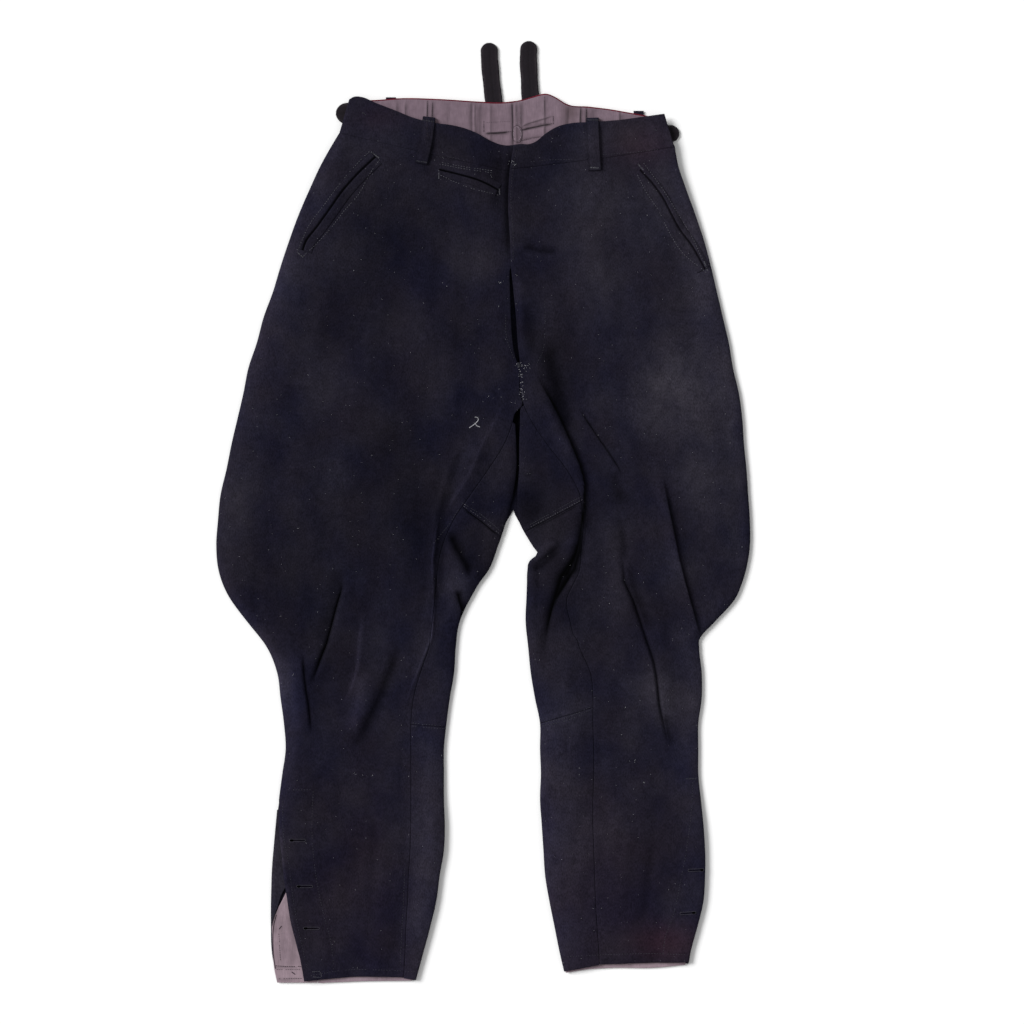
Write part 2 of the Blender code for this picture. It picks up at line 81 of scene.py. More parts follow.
def curve(keys: Sequence[float], values: Sequence[float], at: np.ndarray) -> np.ndarray:
    """Reads a cubic through key and value pairs.

    Args:
        keys: places along the curve, rising.
        values: the curve's value at each key.
        at: places to read.

    Returns:
        The values there, held level beyond the ends.
    """
    keys, values = np.asarray(keys, float), np.asarray(values, float)
    slopes = np.gradient(values, keys)
    at = np.clip(np.asarray(at, float), keys[0], keys[-1])
    k = np.clip(np.searchsorted(keys, at) - 1, 0, len(keys) - 2)
    span = keys[k + 1] - keys[k]
    t = (at - keys[k]) / span
    return ((2 * t**3 - 3 * t**2 + 1) * values[k] + (t**3 - 2 * t**2 + t) * span * slopes[k]
            + (3 * t**2 - 2 * t**3) * values[k + 1] + (t**3 - t**2) * span * slopes[k + 1])


def reach_of(path: Sequence[Point], x: np.ndarray, y: np.ndarray
             ) -> tuple[np.ndarray, np.ndarray, np.ndarray, np.ndarray]:
    """Measures places against a path.

    Args:
        path: the path's corners.
        x: east places.
        y: north places.

    Returns:
        The distance, the side (1 is to the left of the path's run), the share of its length and
        the step from the path's nearest point.
    """
    corners = np.asarray(path, float)
    lengths = np.hypot(*(corners[1:] - corners[:-1]).T)
    best = np.full(x.shape, np.inf)
    side, along, away = np.ones(x.shape), np.zeros(x.shape), np.zeros((*x.shape, 2))
    walked = 0.0
    for start, end, length in zip(corners[:-1], corners[1:], lengths):
        run = (end - start) / length
        t = np.clip((x - start[0]) * run[0] + (y - start[1]) * run[1], 0.0, length)
        dx, dy = x - start[0] - t * run[0], y - start[1] - t * run[1]
        distance = np.hypot(dx, dy)
        nearer = distance < best
        best = np.where(nearer, distance, best)
        side = np.where(nearer, np.sign(run[0] * dy - run[1] * dx), side)
        along = np.where(nearer, (walked + t) / lengths.sum(), along)
        away = np.where(nearer[..., None], np.stack([dx, dy], -1), away)
        walked += length
    return best, side, along, away


def point_edge(points: Sequence[Point], shift: Point = (0.0, 0.0)) -> Edge:
    """Makes an edge through a few points.

    Args:
        points: the edge's points in order.
        shift: how far the edge is moved.

    Returns:
        A function from places between 0 and 1 to plan points.
    """
    made = np.asarray(points, float) + np.asarray(shift)
    along = 0 if np.ptp(made[:, 0]) > np.ptp(made[:, 1]) else 1
    order = np.argsort(made[:, along])
    keys, values = made[order, along], made[order, 1 - along]
    first, last = made[0, along], made[-1, along]

    def edge(t: np.ndarray) -> np.ndarray:
        """Plan points at the places t."""
        at = first + (last - first) * t
        other = curve(keys, values, at) if len(keys) > 2 else np.interp(at, keys, values)
        return np.column_stack([at, other] if along == 0 else [other, at])
    return edge


@dataclass(frozen=True)
class Crease:
    """A soft ridge, or a trough where its height is negative, along a path.

    West is the side on the right hand of a path that runs down the leg. Its shade is painted
    shade along the crease; a negative shade is a painted highlight, a paler line along a lit
    ridge or edge, partly worn nap. A crisp crease draws the mesh's points close to its line.
    """

    path: tuple[Point, ...]
    height: float
    west: float = 9.0
    east: float = 9.0
    groove: float = 0.0
    groove_width: float = 5.0
    shade: float = 0.0
    shade_west: float = 5.0
    shade_east: float = 5.0
    lean: float = 0.0
    crisp: bool = False


@dataclass(frozen=True)
class Relief:
    """The creases of one layer of cloth, and how they fade out and draw points close."""

    creases: tuple[Crease, ...]
    fade_in: float = 0.2
    fade_out: float = 0.25
    lean_west: float = 5.0
    lean_east: float = 26.0
    pull_power: float = 0.85
    pull_fade: float = 0.06

    def gather(self, plan: np.ndarray, reach: float = 16.0) -> np.ndarray:
        """Draws a plan's points towards the crisp creases.

        Args:
            plan: plan points by row and column.
            reach: how far from a crease points move.

        Returns:
            The moved plan, with its rim where it was.
        """
        held = ramp(from_rim(plan), 1.5, min(12.0, reach))
        for crease in (one for one in self.creases if one.crisp):
            distance, _, along, away = reach_of(crease.path, plan[..., 0], plan[..., 1])
            near = np.clip(distance / reach, 1e-4, 1.0)
            ends = ramp(along, 0.0, self.pull_fade) * ramp(1.0 - along, 0.0, self.pull_fade)
            pull = (1.0 - near**self.pull_power) * held * ends
            plan = plan - away * pull[..., None]
        return plan

    def read(self, x: np.ndarray, y: np.ndarray) -> tuple[np.ndarray, np.ndarray, np.ndarray]:
        """Adds up the creases.

        Args:
            x: east places.
            y: north places.

        Returns:
            Height, depth of painted shade (negative for a painted highlight) and the lean to the
            west at each place.
        """
        height, lean = np.zeros(x.shape), np.zeros(x.shape)
        dark, pale = np.zeros(x.shape), np.zeros(x.shape)
        for crease in self.creases:
            distance, side, along, _ = reach_of(crease.path, x, y)
            fade = ramp(along, 0.0, self.fade_in) * ramp(1.0 - along, 0.0, self.fade_out)
            east = side > 0
            reach = np.where(east, crease.east, crease.west)
            height += fade * crease.height * bell(distance, reach)
            height -= fade * crease.groove * bell(distance, crease.groove_width)
            # Painted shade along the crease; a negative shade paints a highlight instead
            if crease.shade:
                reach = np.where(east, crease.shade_east, crease.shade_west)
                mark = fade * crease.shade * bell(distance, reach)
                dark, pale = np.maximum(dark, mark), np.maximum(pale, -mark)
            if crease.lean:
                reach = np.where(east, self.lean_east, self.lean_west)
                lean += fade * crease.lean * bell(distance, reach)
        return height, dark - pale, lean


@dataclass(frozen=True)
class Ripples:
    """Uneven low waves of soft wool, longer down the leg than across it."""

    seed: int
    height: float = 0.3
    shortest: float = 16.0
    longest: float = 90.0
    waves: int = 18
    turn: float = 0.5
    along: float = 0.55

    def read(self, x: np.ndarray, y: np.ndarray) -> np.ndarray:
        """Heights of the waves at each place."""
        dice = np.random.default_rng(self.seed)
        total = np.zeros(x.shape)
        for _ in range(self.waves):
            length = self.shortest * (self.longest / self.shortest) ** dice.random()
            turn = dice.normal(0.0, self.turn)
            wave = 2.0 * np.pi / length * (
                x * np.cos(turn) + self.along * y * np.sin(turn))
            total += length / self.longest * np.sin(wave + dice.random() * 6.3)
        return total * self.height


@dataclass(frozen=True)
class Section:
    """One cut across a leg: its level, side seam, front's inner seam and inner edge."""

    level: float
    outer: float
    seam: float
    inner: float


@dataclass(frozen=True)
class LegForm:
    """The laid form of one leg's upper layer."""

    sections: tuple[Section, ...]
    relief: Relief
    ripples: Ripples
    loft: tuple[Point, ...] = ((460, 1.5), (400, 2.5), (300, 3.9), (0, 3.9), (-200, 3.9),
                               (-400, 3.4), (-500, 2.6), (-557, 1.5))
    # How much paler the side seam's edge is painted, level by level: a painted highlight, partly
    # worn nap
    rubbed_and_lit: tuple[Point, ...] = ((460, 0.2), (300, 0.6), (160, 0.5), (60, 0.15), (-100, 0.1),
                                 (-200, 0.4), (-330, 0.4), (-400, 0.1), (-557, 0.0))
    edge_round: float = 18.0
    base: float = 1.85
    waist_rise: float = 4.45
    facing_rise: float = 1.9
    half_cloth: float = 0.85
    # Reaches of the painted highlight along the outer and inner edges, and its strength on the
    # inner edge
    lit_edge_reach: float = 26.0
    inner_rubbed_and_lit: float = 0.5
    inner_reach: float = 30.0
    still_rim: float = 14.0

    def column(self, name: str, level: np.ndarray) -> np.ndarray:
        """One named column of the sections at any level."""
        rows = sorted(self.sections, key=lambda row: row.level)
        return curve([row.level for row in rows], [getattr(row, name) for row in rows], level)

    def edge(self, name: str, top: float, bottom: float, shift: float = 0.0) -> Edge:
        """Makes a panel's edge that follows one column of the sections.

        Args:
            name: the column.
            top: level at place 0.
            bottom: level at place 1.
            shift: how far east the edge is moved.

        Returns:
            A function from places between 0 and 1 to plan points.
        """
        def edge(t: np.ndarray) -> np.ndarray:
            """Plan points at the places t."""
            levels = top + (bottom - top) * t
            return np.column_stack([self.column(name, levels) + shift, levels])
        return edge

    def rubbed_and_lit_edge(self, level: np.ndarray) -> np.ndarray:
        """How much paler the side seam's edge is painted at any level: a painted highlight, partly
        worn nap.
        """
        rows = sorted(self.rubbed_and_lit)
        return curve([row[0] for row in rows], [row[1] for row in rows], level)

    def rounded(self, distance: np.ndarray) -> np.ndarray:
        """A quarter round from 0 at a folded edge to 1 inside it."""
        return np.sqrt(1.0 - (1.0 - np.clip(distance / self.edge_round, 0.0, 1.0)) ** 2)

    def lay(self, x: np.ndarray, y: np.ndarray) -> tuple[np.ndarray, np.ndarray]:
        """Lays a plan of the upper layer over the lower one.

        Args:
            x: east places.
            y: north places.

        Returns:
            The layer's middle surface, and its depth of painted shade, lowered where the edges get
            a painted highlight.
        """
        base = (self.base + self.waist_rise * ramp(y, 300, 425)
                + self.facing_rise * ramp(-y, 310, 380))
        rows = sorted(self.loft)
        loft = curve([row[0] for row in rows], [row[1] for row in rows], y)
        parting = ramp(-y, -180, 0)
        from_outer = np.abs(x - self.column("outer", y))
        from_inner = np.abs(x - self.column("inner", y))
        lofted = loft * self.rounded(from_outer) * (
            1.0 - parting * (1.0 - self.rounded(from_inner)))
        height, shade, lean = self.relief.read(x, y)
        # Painted highlight: the shade is lowered along the outer and inner edges so they come out
        # paler, partly worn nap
        shade = shade - self.rubbed_and_lit_edge(y) * bell(from_outer, self.lit_edge_reach) - (
            self.inner_rubbed_and_lit * ramp(-y, 150, 260) * bell(from_inner, self.inner_reach))
        held = ramp(from_outer, 0, self.still_rim) * (
            1.0 - parting * (1.0 - ramp(from_inner, 0, self.still_rim)))
        height = (height + self.ripples.read(x, y)) * held
        lifted = np.maximum(base + lofted + height, base)
        return np.dstack([x - lean * held, y, lifted + self.half_cloth]), shade


def ruled(first: Edge, second: Edge, step: float, rim: float = 1.1) -> np.ndarray:
    """Fills the plan between two edges with rows of points, closer at the rim.

    Args:
        first: one edge.
        second: the other edge.
        step: size of a cell.
        rim: width of the turned rim.

    Returns:
        Plan points by row and column.
    """
    ends = np.linspace(0.0, 1.0, 60)
    start, end = first(ends), second(ends)
    length = max(np.hypot(*np.diff(side, axis=0).T).sum() for side in (start, end))
    widths = np.hypot(*(end - start).T)

    def places(size: float, cells: float) -> np.ndarray:
        """Places from 0 to 1, closer at both ends."""
        near = np.array([0.0, 0.12, 0.45, 1.0]) * min(rim / size, 0.2)
        inside = np.linspace(near[-1], 1.0 - near[-1], max(3, round(cells)))
        return np.concatenate([near[:-1], inside, (1.0 - near[:-1])[::-1]])

    down = places(length, length / step)
    across = places(float(widths.mean()), widths.max() / step)[None, :, None]
    return first(down)[:, None, :] * (1.0 - across) + second(down)[:, None, :] * across


def from_rim(points: np.ndarray) -> np.ndarray:
    """Distance of each point of a grid from the grid's rim, along its rows and columns."""
    found = []
    for axis in (0, 1):
        steps = np.linalg.norm(np.diff(points, axis=axis), axis=2)
        walk = np.insert(np.cumsum(steps, axis=axis), 0, 0.0, axis=axis)
        total = np.take(walk, [-1], axis=axis)
        found.append(np.minimum(walk, total - walk))
    return np.minimum(*found)


@dataclass
class Cloth:
    """One cut piece of cloth, made as a thin closed shell with turned edges."""

    name: str
    slot: Slot
    finish: bpy.types.Material
    nodes: tuple[str, ...]
    rests_on: tuple[str, ...]
    thickness: float = 1.6
    rim: float = 1.1

    def make(self, centre: np.ndarray, marks: Marks, emboss: np.ndarray | None = None
             ) -> bpy.types.Object:
        """Builds the shell round a grid of its middle surface.

        Args:
            centre: the middle surface by row and column.
            marks: named values for each point, which the finish reads.
            emboss: how far each point of the upper face is raised.

        Returns:
            The finished piece, attached to the part's body, with its cut and area logged.
        """
        rows, columns = centre.shape[:2]
        upright = np.cross(np.gradient(centre, axis=0), np.gradient(centre, axis=1))
        upright /= np.maximum(np.linalg.norm(upright, axis=2, keepdims=True), 1e-9)
        turned = upright[..., 2].mean() < 0
        upright = -upright if turned else upright
        inward = np.clip(from_rim(centre) / self.rim, 0.0, 1.0)
        half = self.thickness / 2.0 * np.sqrt(1.0 - (1.0 - inward) ** 2)
        upper = centre + upright * half[..., None]
        lower = centre - upright * half[..., None]
        if emboss is not None:
            upper[..., 2] += emboss * inward
        over = np.arange(rows * columns).reshape(rows, columns)
        under = over.copy()
        under[1:-1, 1:-1] = rows * columns + np.arange((rows - 2) * (columns - 2)).reshape(
            rows - 2, columns - 2)
        points = np.vstack([upper.reshape(-1, 3), lower[1:-1, 1:-1].reshape(-1, 3)]) * MM

        def quads(index: np.ndarray, flip: bool) -> np.ndarray:
            """Corner numbers of the grid's cells."""
            cells = np.stack([index[:-1, :-1], index[1:, :-1], index[1:, 1:], index[:-1, 1:]], -1)
            return cells.reshape(-1, 4)[:, ::-1] if flip else cells.reshape(-1, 4)

        faces = np.vstack([quads(over, turned), quads(under, not turned)])
        mesh = bpy.data.meshes.new(self.name)
        mesh.from_pydata(points, [], faces)
        mesh.shade_smooth()
        # fade and rust are the cloth's own colour; shade is mostly painted shade, a painted
        # highlight where negative, with some darker wool and a stain
        for name in ("fade", "rust", "shade"):
            value = np.broadcast_to(marks.get(name, 0.0), (rows, columns))
            every = np.concatenate([value.ravel(), value[1:-1, 1:-1].ravel()])
            mesh.attributes.new(name, "FLOAT", "POINT").data.foreach_set(
                "value", every.astype(np.float32))
        made = bpy.data.objects.new(self.name, mesh)
        bpy.context.scene.collection.objects.link(made)
        made.data.materials.append(self.finish)
        dress(made, self.nodes)
        self.declare(centre)
        return made

    def declare(self, centre: np.ndarray) -> None:
        """Args:
            centre: its middle surface by row and column.
        """
        down = np.linalg.norm(np.diff(centre, axis=0), axis=2)
        across = np.linalg.norm(np.diff(centre, axis=1), axis=2)
        length, width = down.sum(axis=0).max() * MM, across.sum(axis=1).max() * MM
        a = np.cross(centre[1:, :-1] - centre[:-1, :-1], centre[:-1, 1:] - centre[:-1, :-1])
        b = np.cross(centre[1:, :-1] - centre[1:, 1:], centre[:-1, 1:] - centre[1:, 1:])
        area = (np.linalg.norm(a, axis=2) + np.linalg.norm(b, axis=2)).sum() / 2.0 * MM**2
        area = min(area, length * width)
        LOG.info("%s: cut %.0f x %.0f mm, %.4f m2", self.name, width / MM, length / MM, area)


def dress(made: bpy.types.Object, nodes: Sequence[str] = ()) -> None:
    """Places a piece on the part's body.

    Args:
        made: the piece.
        nodes: the solids it stands for.
    """
    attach(made, "root")
    if nodes:
        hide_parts(*nodes)
    LOG.info("%s: %d faces", made.name, len(made.data.polygons))


class Recipe:
    """A material's nodes, written as short calls."""

    def __init__(self, name: str) -> None:
        """Starts a material.

        Args:
            name: the material's name.
        """
        self.material = bpy.data.materials.new(name)
        self.material.use_nodes = True
        self.tree = self.material.node_tree
        self.shader = self.tree.nodes["Principled BSDF"]
        self.place = self.node("ShaderNodeTexCoord").outputs["Object"]

    def node(self, kind: str, inputs: dict | None = None, **settings: object) -> bpy.types.Node:
        """Adds a node.

        Args:
            kind: the node's type.
            inputs: constants or sockets for its inputs, by name or number.
            settings: the node's own settings.

        Returns:
            The node.
        """
        made = self.tree.nodes.new(kind)
        for name, value in settings.items():
            setattr(made, name, value)
        for key, value in (inputs or {}).items():
            if isinstance(value, bpy.types.NodeSocket):
                self.tree.links.new(value, made.inputs[key])
            else:
                made.inputs[key].default_value = value
        return made

    def noise(self, scale: float, detail: float = 2.0, stretch: tuple | None = None
              ) -> bpy.types.NodeSocket:
        """Adds smooth noise.

        Args:
            scale: waves to the metre.
            detail: its octaves.
            stretch: the pattern's scale by axis, or None.

        Returns:
            Its value socket.
        """
        place = self.place
        if stretch:
            place = self.node("ShaderNodeMapping", {"Vector": place, "Scale": stretch}).outputs[0]
        return self.node("ShaderNodeTexNoise", {"Vector": place, "Scale": scale,
                                                "Detail": detail}).outputs[0]

    def spread(self, value: bpy.types.NodeSocket, low: float, high: float, to_low: float = 0.0,
               to_high: float = 1.0) -> bpy.types.NodeSocket:
        """Maps a value's range onto another and holds it there."""
        return self.node("ShaderNodeMapRange", {0: value, 1: low, 2: high, 3: to_low,
                                                4: to_high}).outputs[0]

    def attribute(self, name: str) -> bpy.types.NodeSocket:
        """The value of a mesh attribute."""
        return self.node("ShaderNodeAttribute", attribute_name=name).outputs["Fac"]

    def calc(self, operation: str, a: object, b: object = 0.0) -> bpy.types.NodeSocket:
        """One step of arithmetic."""
        return self.node("ShaderNodeMath", {0: a, 1: b}, operation=operation).outputs[0]

    def blend(self, share: object, first: object, second: object, kind: str = "MIX"
              ) -> bpy.types.NodeSocket:
        """Mixes two colours by a share."""
        made = self.node("ShaderNodeMix", data_type="RGBA", blend_type=kind)
        for key, value in ((0, share), (6, first), (7, second)):
            if isinstance(value, bpy.types.NodeSocket):
                self.tree.links.new(value, made.inputs[key])
            else:
                made.inputs[key].default_value = value if key == 0 else (*value, 1.0)
        return made.outputs[2]

    def toned(self, colour: bpy.types.NodeSocket, tone: bpy.types.NodeSocket
              ) -> bpy.types.NodeSocket:
        """Multiplies a colour by a tone, and by what the painted shade leaves of it; a negative
        shade paints it brighter.
        """
        tone = self.calc("MULTIPLY", tone, self.calc("SUBTRACT", 1.0, self.attribute("shade")))
        grey = self.node("ShaderNodeCombineColor", {0: tone, 1: tone, 2: tone}).outputs[0]
        return self.blend(1.0, colour, grey, "MULTIPLY")

    def bump(self, height: bpy.types.NodeSocket, strength: float, distance: float,
             under: bpy.types.NodeSocket | None = None) -> bpy.types.NodeSocket:
        """Turns a height into a normal, on top of another where one is given."""
        inputs = {"Height": height, "Strength": strength, "Distance": distance}
        if under is not None:
            inputs["Normal"] = under
        return self.node("ShaderNodeBump", inputs).outputs[0]

    def finish(self, colour: bpy.types.NodeSocket, normal: bpy.types.NodeSocket,
               roughness: float, gloss: float, sheen: float, sheen_tint: tuple
               ) -> bpy.types.Material:
        """Joins colour and relief to the shader.

        Args:
            colour: the surface's colour.
            normal: its relief.
            roughness: how matt it is.
            gloss: strength of its highlights.
            sheen: weight of the nap's glow.
            sheen_tint: the glow's colour.

        Returns:
            The material.
        """
        self.tree.links.new(colour, self.shader.inputs["Base Color"])
        self.tree.links.new(normal, self.shader.inputs["Normal"])
        for key, value in (("Roughness", roughness), ("Specular IOR Level", gloss),
                           ("Sheen Weight", sheen), ("Sheen Roughness", 0.45),
                           ("Sheen Tint", (*sheen_tint, 1.0))):
            self.shader.inputs[key].default_value = value
        return self.material


@dataclass(frozen=True)
class WoolFinish:
    """Dark milled wool: fine twill under a short nap, fades and lint, with painted shade and
    painted highlights from the shade mark.
    """

    name: str = "navy_wool"
    deep: tuple = (0.0068, 0.0066, 0.0152)
    brown: tuple = (0.0104, 0.0089, 0.0150)
    faded: tuple = (0.0335, 0.0303, 0.0400)
    rusty: tuple = (0.043, 0.012, 0.015)
    lint: tuple = (0.16, 0.16, 0.18)
    gloss: float = 0.02
    sheen: float = 0.02

    def make(self) -> bpy.types.Material:
        """Builds the material."""
        r = Recipe(self.name)
        cloud = r.spread(r.noise(16.0, 4.0), 0.35, 0.65)
        colour = r.blend(cloud, self.deep, self.brown)
        bloom = r.spread(r.noise(21.0, 3.0, (1.0, 0.8, 1.0)), 0.42, 0.75, 0.0, 0.24)
        colour = r.blend(bloom, colour, self.faded)
        patchy = r.noise(46.0, 4.0, (1.0, 0.75, 1.0))
        worn = r.calc("MULTIPLY", r.attribute("fade"), r.spread(patchy, 0.25, 0.7, 0.45, 1.15))
        colour = r.blend(worn, colour, self.faded)
        colour = r.blend(r.attribute("rust"), colour, self.rusty)
        grain = r.spread(r.noise(850.0, 3.0, (1.0, 0.5, 1.0)), 0.28, 0.72, 0.62, 1.38)
        mottle = r.spread(r.noise(120.0, 4.0), 0.3, 0.7, 0.87, 1.13)
        colour = r.toned(colour, r.calc("MULTIPLY", grain, mottle))
        cell = r.node("ShaderNodeTexVoronoi", {"Vector": r.place, "Scale": 210.0})
        rare = r.calc("GREATER_THAN", r.node("ShaderNodeSeparateColor",
                                             {0: cell.outputs["Color"]}).outputs[0], 0.93)
        speck = r.calc("MULTIPLY", r.calc("LESS_THAN", cell.outputs["Distance"], 0.075), rare)
        colour = r.blend(r.calc("MULTIPLY", speck, 0.8), colour, self.lint)
        twill = r.node("ShaderNodeTexWave", {"Vector": r.place, "Scale": 420.0, "Distortion": 0.6,
                                             "Detail": 1.0}, bands_direction="DIAGONAL").outputs[1]
        normal = r.bump(twill, 0.25, 0.00012)
        normal = r.bump(r.noise(1300.0, 3.0), 0.5, 0.00025, normal)
        normal = r.bump(r.noise(120.0, 4.0, (1.0, 0.6, 1.0)), 0.35, 0.0012, normal)
        return r.finish(colour, normal, 0.94, self.gloss, self.sheen, (0.62, 0.60, 0.75))


@dataclass(frozen=True)
class TwillFinish:
    """Cotton twill of a lining: pale warp streaks, soft brownish patches and painted shade in its
    creases.
    """

    name: str
    pale: tuple
    dull: tuple
    brown: tuple = (0.10, 0.068, 0.080)

    def make(self) -> bpy.types.Material:
        """Builds the material."""
        r = Recipe(self.name)
        cloud = r.spread(r.noise(26.0, 4.0, (1.0, 0.5, 1.0)), 0.3, 0.7)
        colour = r.blend(cloud, self.pale, self.dull)
        colour = r.blend(r.attribute("rust"), colour, self.brown)
        warp = r.spread(r.noise(1500.0, 2.0, (1.0, 0.06, 1.0)), 0.3, 0.7, 0.88, 1.12)
        mottle = r.spread(r.noise(180.0, 3.0), 0.3, 0.7, 0.92, 1.08)
        colour = r.toned(colour, r.calc("MULTIPLY", warp, mottle))
        twill = r.node("ShaderNodeTexWave", {"Vector": r.place, "Scale": 500.0},
                       bands_direction="DIAGONAL").outputs[1]
        normal = r.bump(twill, 0.3, 0.0001)
        normal = r.bump(r.noise(90.0, 4.0), 0.4, 0.0008, normal)
        return r.finish(colour, normal, 0.8, 0.2, 0.05, (0.8, 0.7, 0.8))


@dataclass(frozen=True)
class TapeFinish:
    """Firm ribbed tape, darker and browner than the wool, with paler edges, partly wear and partly
    painted highlight.
    """

    name: str = "dark_tape"
    base: tuple = (0.0125, 0.0100, 0.0130)
    rubbed_and_lit: tuple = (0.034, 0.028, 0.033)

    def make(self) -> bpy.types.Material:
        """Builds the material."""
        r = Recipe(self.name)
        # Paler edges from the fade mark: partly wear, partly painted highlight
        rubbed_and_lit = r.calc("MULTIPLY", r.attribute("fade"), r.spread(r.noise(160.0), 0.3, 0.7))
        colour = r.blend(rubbed_and_lit, self.base, self.rubbed_and_lit)
        grain = r.spread(r.noise(1700.0, 2.0, (0.4, 1.0, 1.0)), 0.25, 0.75, 0.7, 1.3)
        colour = r.toned(colour, grain)
        ribs = r.node("ShaderNodeTexWave", {"Vector": r.place, "Scale": 260.0, "Distortion": 0.4},
                      bands_direction="Y").outputs[1]
        normal = r.bump(ribs, 0.4, 0.00015)
        normal = r.bump(r.noise(700.0, 3.0), 0.4, 0.0003, normal)
        return r.finish(colour, normal, 0.9, 0.1, 0.05, (0.7, 0.6, 0.7))


@dataclass(frozen=True)
class ThreadFinish:
    """Spun thread with a slight twist."""

    name: str
    colour: tuple
    gloss: float = 0.2

    def make(self) -> bpy.types.Material:
        """Builds the material."""
        r = Recipe(self.name)
        dark = tuple(0.55 * part for part in self.colour)
        colour = r.blend(r.spread(r.noise(400.0), 0.35, 0.65), self.colour, dark)
        twist = r.node("ShaderNodeTexWave", {"Vector": r.place, "Scale": 900.0},
                       bands_direction="DIAGONAL").outputs[1]
        return r.finish(colour, r.bump(twist, 0.4, 0.0001), 0.75, self.gloss, self.gloss / 2.0,
                        (0.9, 0.9, 0.95))


RIGHT_SECTIONS = tuple(Section(*row) for row in (
    (450, -168, 35, 35), (440, -174, 35, 35), (410, -191, 32, 32), (380, -205, 29, 29),
    (350, -218, 30, 30), (320, -229, 31, 31), (290, -239, 32, 32), (260, -248, 33, 33),
    (230, -259, 34, 34), (200, -267, 36, 36), (170, -277, 41, 41), (140, -283, 40, 40),
    (110, -290, 36, 38), (80, -297, 25, 39), (50, -303, 6, 39), (20, -310, -15, 35),
    (-10, -313, -35, 27), (-40, -315, -48, 17), (-70, -312, -54, 5), (-85, -307.3, -55.3, -6),
    (-100, -300, -57, -14.5), (-115, -289.7, -58.3, -22.5), (-130, -278, -60, -28.5),
    (-160, -255, -64, -33), (-190, -243, -74, -35), (-220, -239, -82, -40), (-250, -235, -85, -44),
    (-280, -233, -85, -47), (-310, -237, -85, -47), (-340, -241, -85, -47), (-370, -245, -85, -46),
    (-400, -248, -86, -47), (-430, -250, -88, -52), (-460, -251, -89, -56), (-490, -251, -91, -63),
    (-520, -250, -92, -71), (-557, -243, -94, -81),
))
LEFT_SECTIONS = tuple(Section(*row) for row in (
    (440, 225, 36, 36), (410, 230, 32, 32), (380, 240, 30, 30), (350, 251, 30, 30),
    (320, 261, 32, 32), (290, 269, 33, 33), (260, 276, 36, 36), (230, 283, 39, 39),
    (200, 290, 41, 41), (170, 295, 44, 44), (140, 302, 44, 44), (110, 306, 56, 44),
    (80, 308, 76, 43), (50, 311, 99, 43), (20, 313, 115, 41), (-10, 315, 121.5, 43),
    (-40, 315, 119.5, 59), (-50, 314, 118.8, 65), (-57.5, 312.7, 118.3, 56), (-70, 310, 116.5, 53),
    (-85, 305.3, 109.5, 52.5), (-100, 299, 102.5, 52), (-130, 273, 104.5, 51),
    (-147, 257.2, 108.7, 52.5), (-150, 255.4, 110.8, 52.9), (-160, 255, 114, 54),
    (-190, 258, 127, 57), (-220, 258, 130, 62), (-250, 254, 130, 68), (-280, 254, 131, 68),
    (-310, 254, 131, 69), (-340, 257, 130, 68), (-370, 260, 130, 70), (-400, 262, 131, 72),
    (-430, 262, 132, 74), (-460, 260, 133, 79), (-490, 253, 135, 85), (-520, 245, 137, 91),
    (-550, 241, 139, 98),
))
VENT_EDGE = ((-241, -340), (-241, -375), (-237, -412), (-235, -433), (-232, -453),
             (-227, -485), (-221, -509), (-216, -529), (-211, -557))
VENT_TOP = -340.0
FLY_LIFT = 2.0
FLY_REACH = (9.0, 32.0)
